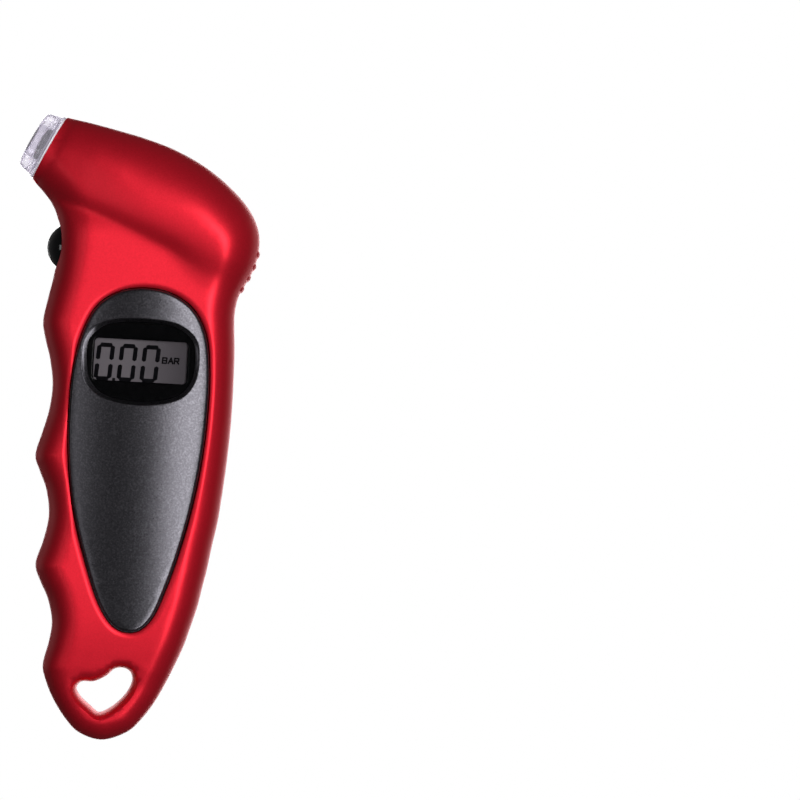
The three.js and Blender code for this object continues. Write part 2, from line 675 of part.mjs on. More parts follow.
// ---- Button and switch, in the button's frame: Z runs outwards, 0 at the shells' surface ----

// A round dome over a hollow skirt, with a flange round the skirt and a stem in its middle.
function powerButton() {
  const dome = [[0, BUTTON_RISE]];
  for (let i = 1; i <= 6; i += 1) {
    const turn = (i / 6) * (Math.PI / 2);
    dome.push([BUTTON_RADIUS * Math.sin(turn), BUTTON_RISE - BUTTON_RADIUS * (1 - Math.cos(turn))]);
  }
  const underFlange = BUTTON_FLANGE - 0.8;
  const stemFoot = BUTTON_FLANGE - 1.0;
  const flange = [BUTTON_FLANGE, underFlange].map((height) => [BUTTON_FLANGE_RADIUS, height]);
  const hollow = [[4.8, underFlange], [4.8, -1.0], [1.7, -1.0], [1.7, stemFoot], [0, stemFoot]];
  return turned([...dome, [BUTTON_RADIUS, BUTTON_FLANGE], ...flange, ...hollow], 28);
}

function switchPlunger() {
  return tube(0, PLUNGER_RADIUS, -9.4, BUTTON_FLANGE - 1.3, 20);
}

function switchBody() {
  const housing = box([-SWITCH_HALF, -SWITCH_HALF, SWITCH_BACK], [SWITCH_HALF, SWITCH_HALF, SWITCH_FRONT]);
  return cut(housing, tube(0, PLUNGER_RADIUS + FIT, SWITCH_BACK + 1.2, 0, 20));
}

function switchBoard() {
  return box([-6.0, -6.5, SWITCH_BACK - FIT - 1.2], [6.0, 6.5, SWITCH_BACK - FIT]);
}

// ---- Assembly ----

const gauge = new THREE.Group();

function add(group, name, made, material) {
  const mesh = new THREE.Mesh(geometryOf(made), material);
  mesh.name = name;
  group.add(mesh);
}

add(gauge, "front_shell", frontShell(), red());
add(gauge, "rear_shell", rearShell(), red());
add(gauge, "shell_screw_upper", screw(SCREW_UPPER, SCREW_SEAT, SHELL_SCREW, 13), steel());
add(gauge, "shell_screw_lower", screw(SCREW_LOWER, SCREW_SEAT, SHELL_SCREW, 10.5), steel());

add(gauge, "display_panel", displayPanel(), gunmetal());
add(gauge, "display_lens", displayLens(), clear());
add(gauge, "lcd_frame", lcdFrame(), blackPlastic());
add(gauge, "lcd_glass", lcdGlass(), displayGlass());
add(gauge, "backlight_plate", backlightPlate(), diffuser());
add(gauge, "lcd_connector", lcdConnector(), rubber());

add(gauge, "main_board", mainBoard(), boardGreen());
add(gauge, "controller_chip", controllerChip(), blackPlastic());
add(gauge, "coin_cell", coinCell(), steel());
add(gauge, "battery_clip", batteryClip(), steel());
add(gauge, "battery_contact", batteryContact(), brass());
add(gauge, "board_screw_upper", screw(BOARD_SCREWS[0], BOARD_BACK + 0.1, BOARD_SCREW, 5), steel());
add(gauge, "board_screw_lower", screw(BOARD_SCREWS[1], BOARD_BACK + 0.1, BOARD_SCREW, 5), steel());

add(gauge, "sensor_wires", lead(SENSOR_LEAD, 3.6, 0.6), greyInsulation());
add(gauge, "led_wires", lead(LED_LEAD, 1.6, 0.7), greyInsulation());
add(gauge, "switch_wires", lead(SWITCH_LEAD, 1.6, 0.7), greyInsulation());

add(nozzleGroup, "nozzle_tip", nozzleTip(), clear());
add(nozzleGroup, "nozzle_seal", nozzleSeal(), rubber());
add(nozzleGroup, "valve_depressor", valveDepressor(), brass());
add(nozzleGroup, "air_chamber", airChamber(), brass());
add(nozzleGroup, "led_board", ledBoard(), boardGreen());
add(nozzleGroup, "nozzle_led_upper", nozzleLed(1), whiteResin());
add(nozzleGroup, "nozzle_led_lower", nozzleLed(-1), whiteResin());
add(nozzleGroup, "sensor_o_ring", sensorORing(), rubber());
add(nozzleGroup, "pressure_sensor", pressureSensor(), steel());
gauge.add(nozzleGroup);

add(buttonGroup, "power_button", powerButton(), blackPlastic());
add(buttonGroup, "switch_plunger", switchPlunger(), blackPlastic());
add(buttonGroup, "switch_body", switchBody(), blackPlastic());
add(buttonGroup, "switch_board", switchBoard(), boardGreen());
gauge.add(buttonGroup);

export default gauge;
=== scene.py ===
"""A digital tire pressure gauge: two red shells, a display panel, a clear nozzle and a round button.

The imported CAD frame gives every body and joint. The visible pieces are rebuilt here in finer mesh, in
millimetres scaled to metres at the end, and the pieces inside the shells keep their CAD meshes.
X runs away from the nozzle, the display faces -Y and +Z runs up along the display panel.
"""

import math

import bmesh
import bpy
import numpy as np
from mathutils import Matrix, Vector
from mathutils.geometry import delaunay_2d_cdt

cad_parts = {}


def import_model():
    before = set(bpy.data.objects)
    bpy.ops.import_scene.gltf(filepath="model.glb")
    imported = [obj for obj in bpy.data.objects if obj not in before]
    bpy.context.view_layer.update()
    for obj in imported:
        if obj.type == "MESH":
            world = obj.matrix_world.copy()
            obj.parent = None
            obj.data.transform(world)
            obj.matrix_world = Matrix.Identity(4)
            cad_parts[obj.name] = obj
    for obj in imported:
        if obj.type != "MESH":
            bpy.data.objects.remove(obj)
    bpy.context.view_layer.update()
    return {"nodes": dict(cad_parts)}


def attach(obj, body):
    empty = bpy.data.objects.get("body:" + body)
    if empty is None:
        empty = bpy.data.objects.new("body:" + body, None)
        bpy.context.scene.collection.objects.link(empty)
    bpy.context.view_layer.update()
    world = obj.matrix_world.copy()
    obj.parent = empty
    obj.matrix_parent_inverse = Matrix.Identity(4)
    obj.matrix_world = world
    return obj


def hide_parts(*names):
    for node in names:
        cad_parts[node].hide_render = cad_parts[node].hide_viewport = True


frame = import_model()

# ---- Driving dimensions, in millimetres unless said otherwise ----

MM = 0.001
PARTING = 0.1  # gap between the shells
SEAM_HEIGHT = 0.25  # the shells' edges are chamfered from here down to the parting plane
SEAM_DEPTH = 0.15
SEAM_RIB = (0.65, 1.7)  # a low rib on the rear shell's rim, between these depths inside the edge
SEAM_RIB_HEIGHT = 0.04  # how far the rib passes the parting plane
WALL = 2.0

NOZZLE_TILT = math.radians(26.5)
NOZZLE_BASE = np.array([-26.05, 66.3])  # x, z of the shells' round mouth
NOZZLE_RADIUS = 8.45
MOUTH_RADIUS = 4.4
BUTTON_TILT = math.radians(8)
BUTTON_BASE = np.array([-22.9, 43.2])
BUTTON_RADIUS = 6.0
BUTTON_HOLE_RADIUS = 6.3
BUTTON_RISE = 2.55

PANEL_CENTRE_X = -1.5
PANEL_HALF_WIDTH = 16.4
PANEL_EDGE_DROP = 2.0
PANEL_BACK = -11.6
PANEL_RIM = 0.8
PANEL_GAP = 0.3
LIP_WIDTH = 1.25  # the shell rolls over towards the panel's gap across this width
LIP_DROP = 0.5
WINDOW_FLOOR = -12.7
WINDOW_EDGE = 0.35  # rounding of the recess's upper edge
WINDOW_FIT = 0.3  # gap round the display cover and its frame
DISPLAY_X = -1.6
DISPLAY_Z = 16.3

SCREW_UPPER = np.array([15.0, 49.5])
SCREW_LOWER = np.array([-9.6, -50.1])
SCREW_HOLE_RADIUS = 2.4

# Ribs across the body, from the finger edge to the spine edge:
# finger x, z, spine x, z, height of the front and of the back above the parting plane, and edge rounding.
STATIONS = np.array([
    [-29.8, 58.75, -22.3, 73.85, 8.45, 8.45, 8.45],
    [-28.7, 57.4, -16.7, 72.9, 10.2, 10.0, 9.2],
    [-27.7, 56.4, -10.5, 71.6, 11.8, 11.4, 9.8],
    [-26.8, 55.4, -3.3, 69.9, 13.2, 12.6, 10.6],
    [-25.9, 54.4, 4.1, 67.5, 14.4, 13.6, 11.4],
    [-25.2, 53.5, 11.5, 63.8, 15.2, 14.2, 12.0],
    [-24.6, 52.5, 17.7, 59.2, 15.6, 14.4, 12.0],
    [-24.1, 51.6, 22.4, 54.3, 15.3, 14.1, 11.5],
    [-23.7, 50.7, 24.9, 49.4, 14.4, 13.3, 10.5],
    [-23.4, 49.8, 25.3, 44.6, 13.0, 12.4, 9.5],
    [-23.2, 48.7, 24.3, 40.0, 12.1, 12.1, 8.6],
    [-23.05, 46.6, 22.6, 36.4, 12.2, 12.3, 8.0],
    [-23.0, 43.5, 21.1, 33.4, 12.5, 12.6, 7.6],
    [-23.1, 39.6, 20.5, 30.9, 12.5, 12.9, 7.2],
    [-23.6, 35.4, 20.3, 28.6, 12.5, 13.2, 7.0],
    [-24.6, 30.4, 20.35, 26.6, 12.5, 13.4, 6.8],
    [-25.5, 24.8, 20.5, 24.2, 12.5, 13.5, 6.6],
    [-24.7, 20.5, 20.8, 19.5, 12.5, 13.5, 6.5],
    [-23.3, 15.6, 20.9, 14.8, 12.5, 13.5, 6.5],
    [-22.4, 9.6, 20.95, 9.4, 12.5, 13.5, 6.5],
    [-22.9, 3.6, 20.9, 4.0, 12.5, 13.5, 6.5],
    [-24.2, -1.7, 20.7, -1.3, 12.5, 13.5, 6.5],
    [-25.6, -7.3, 20.35, -6.8, 12.5, 13.5, 6.5],
    [-24.4, -11.0, 19.95, -11.6, 12.5, 13.3, 6.5],
    [-22.5, -15.6, 19.5, -16.2, 12.5, 12.9, 6.5],
    [-21.6, -21.6, 18.9, -21.4, 12.5, 12.5, 6.5],
    [-22.6, -27.7, 17.9, -27.0, 12.5, 12.0, 6.5],
    [-24.15, -33.4, 16.9, -33.2, 12.4, 11.5, 6.5],
    [-22.7, -37.7, 16.0, -37.6, 12.3, 11.1, 6.4],
    [-20.8, -41.5, 15.2, -41.7, 12.1, 10.7, 6.3],
    [-19.5, -46.8, 13.8, -46.7, 11.7, 10.1, 6.2],
    [-19.9, -51.6, 12.3, -51.6, 11.0, 9.5, 6.0],
    [-21.1, -57.4, 10.1, -57.0, 9.9, 8.6, 5.8],
    [-20.2, -61.2, 8.2, -61.2, 8.9, 7.6, 5.6],
    [-18.2, -65.5, 6.0, -65.4, 8.3, 6.7, 5.4],
    [-15.2, -69.9, 3.3, -69.3, 7.9, 6.1, 5.2],
    [-11.6, -73.3, 0.0, -72.6, 7.4, 5.7, 5.0],
    [-5.9, -74.8, -5.9, -74.8, 7.0, 5.5, 5.0],
])
LAST_STATION = len(STATIONS) - 1
CAVITY_END = (28.0, 30.0)  # the hollow closes between these stations

# Outlines of the panel, of the recess over the display and of the lanyard hole, clockwise in x, z.
PANEL_OUTLINE = [
    [-1.0, 33.6], [5.4, 32.4], [10.4, 29.0], [13.5, 23.4], [14.8, 15.0], [14.9, 5.0],
    [14.3, -4.5], [12.9, -15.0], [10.6, -26.0], [7.4, -37.0], [4.2, -44.8], [1.3, -47.7],
    [-1.6, -48.2], [-4.6, -47.0], [-8.0, -42.5], [-12.3, -31.5], [-15.6, -20.0], [-17.3, -9.0],
    [-17.9, 2.0], [-17.4, 14.0], [-15.6, 22.6], [-12.4, 29.0], [-7.3, 32.5],
]
WINDOW_OUTLINE = [
    [-1.6, 26.2], [7.2, 25.1], [11.2, 21.8], [12.0, 17.4], [11.3, 11.9], [8.2, 8.0],
    [-0.8, 5.9], [-10.0, 7.2], [-14.1, 10.4], [-15.3, 14.6], [-15.0, 21.3], [-10.9, 24.9],
]
HEART_OUTLINE = [
    [-12.9, -62.6], [-11.8, -60.9], [-8.6, -60.6], [-5.7, -59.1], [-3.9, -57.4], [-2.0, -57.0],
    [-0.1, -57.8], [0.7, -59.8], [-0.2, -62.7], [-2.5, -65.6], [-5.2, -67.7], [-7.1, -68.4],
    [-9.5, -66.7], [-11.9, -64.6],
]
# How far forward the panel's crown stands at each height.
PANEL_CROWN = np.array(
    [[-48.5, 11.9], [-33, 12.9], [-20, 13.9], [-4, 14.9], [6, 15.1], [20, 14.9], [34, 13.6]]
)
HEART_INSET = 0.2  # the hole stands this far inside its outline
HEART_ROUNDING = 1.8
LOOP_TOP = -55.0  # the loop round the lanyard hole begins below this

# The head is a tube along a straight ridge that runs down from the nozzle, over the top of the grip.
RIDGE_END = np.array([25.0, 46.0])
RIDGE_AT = [0, 5, 11, 18, 26, 36, 46, 51, 58]  # distance from the nozzle's cut
RIDGE_FRONT = [8.45, 10.6, 12.6, 14.1, 15.1, 15.6, 15.5, 14.9, 13.0]
RIDGE_BACK = [8.45, 10.4, 12.1, 13.3, 14.1, 14.45, 14.3, 13.7, 12.2]
NOZZLE_BLEND = 3.0  # the body turns from the nozzle's circle into its own section over this
# Each of these three pairs has a value near the fingers and one near the spine.
FLANK_WIDTH = (12.8, 15.5)  # how wide the tube would be below its ridge
FLANK_POWER = (3, 2.5)  # how square its flank is
MEETING = (0.7, 2.2)  # how softly the head meets the grip
SPINEWARD = (2.0, 12.0)  # the pairs' values change from this x on, over this distance
GRIP_START = 12  # the first station of the grip
GRIP_TOP = 45.0  # the grip's face falls back above this
GRIP_FALL = 0.045  # times the square of the height above it
FINGER_TAPER = 0.075  # the head's rounding on the finger side narrows by this much a station
BROW = (3.6, 1.5, 4.0)  # the spine side's rounding is wider round this station, over and by these
THUMB_RIBS = [9.25, 9.9, 10.65, 11.5]  # station numbers
RIB_RADIUS = 1.35
RIB_RUN = math.radians(27)  # how far the ribs bend round the edge
RIB_DEPTH = 0.95  # how deep their middle lies in the shell
RIB_SINK = 0.35  # and how far below its face
RIB_END = 0.02  # the ribs run out to this radius

# Steps of the meshes' lines and points.
EDGE_STEP = 0.9
WINDOW_STEP = 0.7
HEART_STEP = 0.5
SHELL_GRID = 1.15
PANEL_GRID = 1.2
FRAME_GRID = 1.4
LENS_GRID = 2.0
FREE_GAP = 0.7  # loose points keep this far from the lines
BATCH = 2000  # how many points are measured at a time

# ---- Curves ----


def cubic(p1, p2, m1, m2, u):
    """Points between p1 and p2, leaving along m1 and arriving along m2."""
    return p1 + m1 * u + (3 * (p2 - p1) - 2 * m1 - m2) * u**2 + (2 * (p1 - p2) + m1 + m2) * u**3


def catmull_rom(points, at):
    """Points at fractional point numbers on a uniform Catmull-Rom curve with open ends."""
    p = np.asarray(points, float)
    p = np.vstack([2 * p[0] - p[1], p, 2 * p[-1] - p[-2]])
    i = np.clip(np.floor(at).astype(int), 0, len(p) - 4)
    u = (at - i)[:, None]
    p0, p1, p2, p3 = (p[i + k] for k in range(4))
    return cubic(p1, p2, (p2 - p0) / 2, (p3 - p1) / 2, u)


def closed_curve(outline, fine=12):
    """A centripetal Catmull-Rom curve through a closed outline, finely sampled."""
    p = np.asarray(outline, float)
    count = len(p)
    parts = []
    for i in range(count):
        p0, p1, p2, p3 = (p[(i + k) % count] for k in (-1, 0, 1, 2))
        d0, d1, d2 = (math.sqrt(np.linalg.norm(b - a)) for a, b in ((p0, p1), (p1, p2), (p2, p3)))
        m1 = ((p1 - p0) / d0 - (p2 - p0) / (d0 + d1) + (p2 - p1) / d1) * d1
        m2 = ((p2 - p1) / d1 - (p3 - p1) / (d1 + d2) + (p3 - p2) / d2) * d1
        parts.append(cubic(p1, p2, m1, m2, (np.arange(fine) / fine)[:, None]))
    return np.vstack(parts)


def resample(points, step=EDGE_STEP, closed=True):
    """The same line with points about one step apart."""
    line = np.vstack([points, points[:1]]) if closed else points
    length = np.concatenate([[0], np.cumsum(np.linalg.norm(np.diff(line, axis=0), axis=1))])
    count = max(3, round(length[-1] / step))
    at = np.linspace(0, length[-1], count + 1)
    if closed:
        at = at[:-1]
    return np.column_stack([np.interp(at, length, line[:, k]) for k in range(line.shape[1])])


def left_normals(points, closed=True):
    """Unit vectors to the left of a line's direction of travel."""
    if closed:
        along = np.roll(points, -1, axis=0) - np.roll(points, 1, axis=0)
    else:
        along = np.gradient(points, axis=0)
    along /= np.linalg.norm(along, axis=1)[:, None]
    return np.column_stack([-along[:, 1], along[:, 0]])


def circle(count):
    """Points round a circle of radius 1."""
    turns = np.linspace(0, 2 * math.pi, count + 1)[:-1]
    return np.column_stack([np.cos(turns), np.sin(turns)])


def grown(loop, by):
    """A clockwise closed loop moved outwards."""
    return loop + left_normals(loop) * by


def nearest(points, line, closed):
    """Distance of each point to a line, and where on it, as a fractional point number."""
    a = line if closed else line[:-1]
    b = np.roll(line, -1, axis=0) if closed else line[1:]
    ab = b - a
    length2 = np.maximum((ab**2).sum(1), 1e-12)
    distance, number = np.empty(len(points)), np.empty(len(points))
    for start in range(0, len(points), BATCH):
        ap = points[start:start + BATCH, None, :] - a[None]
        u = np.clip((ap * ab).sum(2) / length2, 0, 1)
        away = ((ap - u[..., None] * ab) ** 2).sum(2)
        best = away.argmin(1)
        rows = np.arange(len(best))
        distance[start:start + BATCH] = np.sqrt(away[rows, best])
        number[start:start + BATCH] = best + u[rows, best]
    return distance, number


def distance_to_line(points, line, closed=True):
    """Distance of each point to a line."""
    return nearest(points, line, closed)[0]


def inside(points, loop):
    """True for each point within a closed loop."""
    x0, z0 = loop[:, 0], loop[:, 1]
    x1, z1 = np.roll(x0, -1), np.roll(z0, -1)
    rise = np.where(z1 == z0, 1e-12, z1 - z0)
    out = np.empty(len(points), bool)
    for start in range(0, len(points), BATCH):
        x, z = points[start:start + BATCH, :1], points[start:start + BATCH, 1:]
        crosses = ((z0 > z) != (z1 > z)) & (x < (x1 - x0) * (z - z0) / rise + x0)
        out[start:start + BATCH] = crosses.sum(1) % 2 == 1
    return out


def signed_distance(points, loop):
    """Distance of each point to a closed loop, negative within it."""
    away = distance_to_line(points, loop)
    return np.where(inside(points, loop), -away, away)


def smoothstep(x):
    """0 up to 0, 1 from 1 on, and a smooth step between."""
    x = np.clip(x, 0, 1)
    return x * x * (3 - 2 * x)


def rounding(share):
    """A quarter circle's height: 0 at share 0, 1 from share 1 on."""
    return np.sqrt(1 - np.clip(1 - share, 0, 1) ** 2)


# ---- The body's surface ----

PER_STATION = 8  # points on the edge curves between two stations
EDGE_POINTS = np.vstack([STATIONS[:, 0:2], STATIONS[-2::-1, 2:4]])
BODY_EDGE = catmull_rom(EDGE_POINTS, np.arange(0, 2 * LAST_STATION * PER_STATION + 1) / PER_STATION)
FINGER_EDGE = BODY_EDGE[: LAST_STATION * PER_STATION + 1]
SPINE_EDGE = BODY_EDGE[: LAST_STATION * PER_STATION - 1 : -1]
GRIP = STATIONS[GRIP_START:]
GRIP_HEIGHTS = (GRIP[:, 1] + GRIP[:, 3]) / 2  # z between each station's two ends
HEART_LOOP = grown(closed_curve(HEART_OUTLINE), -HEART_INSET)
PANEL_LOOP = closed_curve(PANEL_OUTLINE)
WINDOW_LOOP = closed_curve(WINDOW_OUTLINE)
NOZZLE_OUT = np.array([-math.cos(NOZZLE_TILT), math.sin(NOZZLE_TILT)])
NOZZLE_UP = np.array([math.sin(NOZZLE_TILT), math.cos(NOZZLE_TILT)])


def from_cut(points):
    """How far behind the nozzle's cut the points lie."""
    return -(points - NOZZLE_BASE) @ NOZZLE_OUT


class Surface:
    """Everything that the height of the body depends on, at a set of x, z points."""

    def __init__(self, points):
        self.points = points
        self.finger, finger_at = nearest(points, FINGER_EDGE, False)
        self.spine, spine_at = nearest(points, SPINE_EDGE, False)
        self.edge = np.minimum(self.finger, self.spine)
        self.heart = distance_to_line(points, HEART_LOOP)
        finger_at, spine_at = finger_at / PER_STATION, spine_at / PER_STATION
        near_finger = self.finger < self.spine
        share = self.finger / np.maximum(self.finger + self.spine, 1e-9)
        self.station = finger_at * (1 - share) + spine_at * share
        self.grip_number = np.interp(points[:, 1], GRIP_HEIGHTS[::-1], np.arange(len(GRIP))[::-1])
        rounded = self.rounding_radius(finger_at)
        tapered = np.minimum(rounded, NOZZLE_RADIUS - FINGER_TAPER * finger_at)
        self.finger_radius = np.where(finger_at > GRIP_START, rounded, tapered)
        brow = BROW[2] * np.exp(-(((spine_at - BROW[0]) / BROW[1]) ** 2))
        self.spine_radius = self.rounding_radius(spine_at) + brow
        self.radius = np.where(near_finger, self.finger_radius, self.spine_radius)
        self.panel = signed_distance(points, PANEL_LOOP)

    @staticmethod
    def rounding_radius(at):
        return catmull_rom(STATIONS[:, 6:7], at)[:, 0]

    def face(self, side):
        """Height of the body's face away from its edges: the higher of the head's tube and the grip."""
        ridge = (RIDGE_END - NOZZLE_BASE) / np.linalg.norm(RIDGE_END - NOZZLE_BASE)
        off = self.points - NOZZLE_BASE
        along, below = off @ ridge, off @ np.array([ridge[1], -ridge[0]])
        numbers = np.interp(along, RIDGE_AT, np.arange(len(RIDGE_AT)))
        crest = catmull_rom(np.array(RIDGE_FRONT if side < 0 else RIDGE_BACK)[:, None], numbers)[:, 0]
        spineward = smoothstep((self.points[:, 0] - SPINEWARD[0]) / SPINEWARD[1])
        pairs = (FLANK_WIDTH, FLANK_POWER, MEETING)
        width, power, meeting = (low + (high - low) * spineward for low, high in pairs)
        tube = crest * (1 - np.clip(below / width, 0, 1) ** power) ** (1 / power)
        grip = catmull_rom(GRIP[:, 4:5] if side < 0 else GRIP[:, 5:6], self.grip_number)[:, 0]
        grip = grip - GRIP_FALL * np.clip(self.points[:, 1] - GRIP_TOP, 0, None) ** 2
        return (tube + grip + np.sqrt((tube - grip) ** 2 + meeting**2)) / 2

    def edge_share(self, inset=0.0):
        """The rounding along both edges: 0 at the edge, 1 where the face begins."""
        finger = rounding((self.finger - inset) / (self.finger_radius - inset))
        spine = rounding((self.spine - inset) / (self.spine_radius - inset))
        return np.where(self.points[:, 1] < LOOP_TOP, np.minimum(finger, spine), finger * spine)

    def outer(self, side):
        """Height of the shell's outer face above the parting plane."""
        height = self.face(side) * self.edge_share()
        across = (self.points - NOZZLE_BASE) @ NOZZLE_UP
        circle = np.sqrt(np.maximum(NOZZLE_RADIUS**2 - across**2, 0))
        near_cut = 1 - smoothstep(from_cut(self.points) / NOZZLE_BLEND)
        height = height * (1 - near_cut) + circle * near_cut
        height = height * rounding(self.heart / HEART_ROUNDING)
        if side < 0:
            height += self.panel_lip()
        return np.maximum(height, SEAM_HEIGHT)

    def panel_lip(self):
        """The face rolls over towards the gap round the panel."""
        return -LIP_DROP * np.clip((PANEL_GAP + LIP_WIDTH - self.panel) / LIP_WIDTH, 0, 1) ** 2

    def inner(self, side):
        """Height of the shell's inner face, with the chamfer of the parting line."""
        hollow = (self.face(side) - WALL) * self.edge_share(WALL)
        hollow = np.where(self.edge > WALL, hollow, 0)
        hollow *= 1 - smoothstep((self.station - CAVITY_END[0]) / (CAVITY_END[1] - CAVITY_END[0]))
        depth = np.minimum(self.edge, self.heart)
        chamfer = (SEAM_HEIGHT - PARTING / 2) * np.clip(1 - depth / SEAM_DEPTH, 0, 1)
        rib = (side > 0) & (depth > SEAM_RIB[0]) & (depth < SEAM_RIB[1])
        return np.where(rib, -SEAM_RIB_HEIGHT, PARTING / 2 + hollow + chamfer)


# ---- Filling a region of the x, z plane with triangles ----


class Region:
    """Loops, inner lines and loose points, turned into triangles that follow them all."""

    def __init__(self, *loops):
        self.points = []
        self.edges = []
        self.loops = []
        for loop in loops:
            self.add_loop(loop)

    def add_line(self, points, closed, keep=None):
        """Adds a line; where keep is false the line is broken and the point is left out."""
        number = {}
        for i, point in enumerate(points):
            if keep is None or keep[i]:
                number[i] = len(self.points)
                self.points.append(point)
        count = len(points)
        for i in range(count if closed else count - 1):
            j = (i + 1) % count
            if i in number and j in number:
                self.edges.append((number[i], number[j]))

    def add_loop(self, points):
        self.loops.append(np.asarray(points))
        self.add_line(points, True)

    def add_rings(self, loop, offsets, step=EDGE_STEP):
        """Closed lines at these distances outside a loop."""
        for offset in offsets:
            self.add_line(resample(grown(loop, offset), step), True)

    def add_points(self, points):
        self.points.extend(points)

    def add_apart(self, points, gap=FREE_GAP):
        """Adds the points that keep a gap from all that are there."""
        there = np.asarray(self.points)
        for start in range(0, len(points), BATCH):
            part = points[start:start + BATCH]
            away = ((part[:, None, :] - there[None]) ** 2).sum(2).min(1)
            self.points.extend(part[away > gap**2])

    def fill(self):
        """Triangles inside the first loop and outside the others."""
        verts, _, faces, _, _, _ = delaunay_2d_cdt(
            [Vector(p) for p in self.points], self.edges, [], 0, 1e-5, False
        )
        verts = np.array([tuple(v) for v in verts])
        faces = np.array([tuple(f) for f in faces])
        a, b, c = (verts[faces[:, k]] for k in range(3))
        centre = (a + b + c) / 3
        area = (b - a)[:, 0] * (c - a)[:, 1] - (b - a)[:, 1] * (c - a)[:, 0]
        keep = inside(centre, self.loops[0]) & (np.abs(area) > 1e-9)
        for hole in self.loops[1:]:
            keep &= ~inside(centre, hole)
        faces = faces[keep]
        turned = area[keep] < 0
        faces[turned] = faces[turned][:, ::-1]
        used = np.unique(faces)
        renumber = np.full(len(verts), -1)
        renumber[used] = np.arange(len(used))
        return verts[used], renumber[faces]


def grid_over(outline, step):
    """Points of a triangular grid over an outline's box."""
    low, high = outline.min(0), outline.max(0)
    rows = np.arange(low[1], high[1], step * math.sqrt(3) / 2)
    out = []
    for number, z in enumerate(rows):
        xs = np.arange(low[0] + (number % 2) * step / 2, high[0], step)
        out.append(np.column_stack([xs, np.full(len(xs), z)]))
    return np.vstack(out)


def slab(verts, faces, top, bottom):
    """A closed solid between two height fields over the same triangles, welded where they meet.

    top and bottom are y values, one for each point or one for all.
    """
    count = len(verts)
    top, bottom = np.broadcast_to(top, count), np.broadcast_to(bottom, count)
    upper = np.column_stack([verts[:, 0], top, verts[:, 1]])
    lower = np.column_stack([verts[:, 0], bottom, verts[:, 1]])
    edges = dict.fromkeys((int(face[i]), int(face[(i + 1) % 3])) for face in faces for i in range(3))
    edges = [(a, b) for a, b in edges if (b, a) not in edges]
    below = np.arange(count) + count
    for v in {v for edge in edges for v in edge}:
        if abs(top[v] - bottom[v]) < 1e-4:
            below[v] = v
    out = [tuple(int(v) for v in face) for face in faces]
    out += [tuple(int(below[v]) for v in face[::-1]) for face in faces]
    for a, b in edges:
        quad = [b, a, int(below[a]), int(below[b])]
        ring = [v for i, v in enumerate(quad) if v not in quad[:i]]
        if len(ring) > 2:
            out.append(tuple(ring))
    return np.vstack([upper, lower]), out


# ---- Pieces ----


def make_object(name, data):
    """A mesh, light or camera put into the scene."""
    obj = bpy.data.objects.new(name, data)
    bpy.context.scene.collection.objects.link(obj)
    return obj


def make_mesh(name, verts, faces):
    mesh = bpy.data.meshes.new(name)
    mesh.from_pydata([tuple(v) for v in np.asarray(verts) * MM], [], faces)
    mesh.update()
    return mesh


def oriented(verts, faces):
    """The same closed solid with its faces turned outwards."""
    volume = 0.0
    for face in faces:
        a = verts[face[0]]
        for i in range(1, len(face) - 1):
            volume += np.dot(a, np.cross(verts[face[i]], verts[face[i + 1]]))
    if volume < 0:
        faces = [face[::-1] for face in faces]
    return verts, faces


def drop_loose(mesh):
    """Deletes the points that no face uses."""
    bm = bmesh.new()
    bm.from_mesh(mesh)
    loose = [v for v in bm.verts if not v.link_faces]
    bmesh.ops.delete(bm, geom=loose, context="VERTS")
    bm.to_mesh(mesh)
    bm.free()


def piece(name, parts, material, body="gauge_body", replaces=(), sharp=35):
    """One object from a list of (verts, faces) solids, riding on a body and standing for CAD nodes."""
    verts, faces, first = [], [], 0
    for part in parts:
        part_verts, part_faces = oriented(*part)
        verts.append(part_verts)
        faces += [tuple(first + v for v in face) for face in part_faces]
        first += len(part_verts)
    mesh = make_mesh(name, np.vstack(verts), faces)
    drop_loose(mesh)
    mesh.shade_smooth()
    mesh.set_sharp_from_angle(angle=math.radians(sharp))
    mesh.materials.append(material)
    obj = make_object(name, mesh)
    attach(obj, body)
    if replaces:
        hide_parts(*replaces)
    return obj


def lathe(profile, matrix, segments=64):
    """A turned solid about a frame's Z, from a closed profile of (radius, height) points."""
    verts, rows = [], []
    for radius, height in profile:
        if radius < 1e-6:
            rows.append([len(verts)] * segments)
            verts.append((0, 0, height))
        else:
            rows.append([len(verts) + i for i in range(segments)])
            verts += [(radius * x, radius * y, height) for x, y in circle(segments)]
    faces = []
    closes = profile[0][0] > 1e-6 or profile[-1][0] > 1e-6
    for k in range(len(rows) if closes else len(rows) - 1):
        low, high = rows[k], rows[(k + 1) % len(rows)]
        for i in range(segments):
            j = (i + 1) % segments
            ring = []
            for v in (low[i], low[j], high[j], high[i]):
                if v not in ring:
                    ring.append(v)
            if len(ring) > 2:
                faces.append(tuple(ring))
    matrix = np.array(matrix)
    return np.array(verts) @ matrix[:3, :3].T + matrix[:3, 3], faces


def axes(x, y, z, at):
    """A frame with these axes at a place."""
    matrix = Matrix((x, y, z)).transposed().to_4x4()
    matrix.translation = at
    return matrix


def turned_frame(base, tilt):
    """A frame at an x, z point whose Z points out of the body and X up."""
    out = Vector((-math.cos(tilt), 0, math.sin(tilt)))
    up = Vector((math.sin(tilt), 0, math.cos(tilt)))
    return axes(up, out.cross(up), out, (base[0], 0, base[1]))


def along_y(at):
    """A frame at an x, z point whose Z points along +Y."""
    return axes((1, 0, 0), (0, 0, -1), (0, 1, 0), (at[0], 0, at[1]))


def stacked(rings):
    """A closed solid through rings of x, y, z points, with both ends filled."""
    count = len(rings[0])
    last = (len(rings) - 1) * count
    faces = [tuple(range(count))[::-1], tuple(range(last, last + count))]
    for low in range(0, last, count):
        for i in range(count):
            j = (i + 1) % count
            faces.append((low + i, low + j, low + count + j, low + count + i))
    return np.vstack(rings), faces


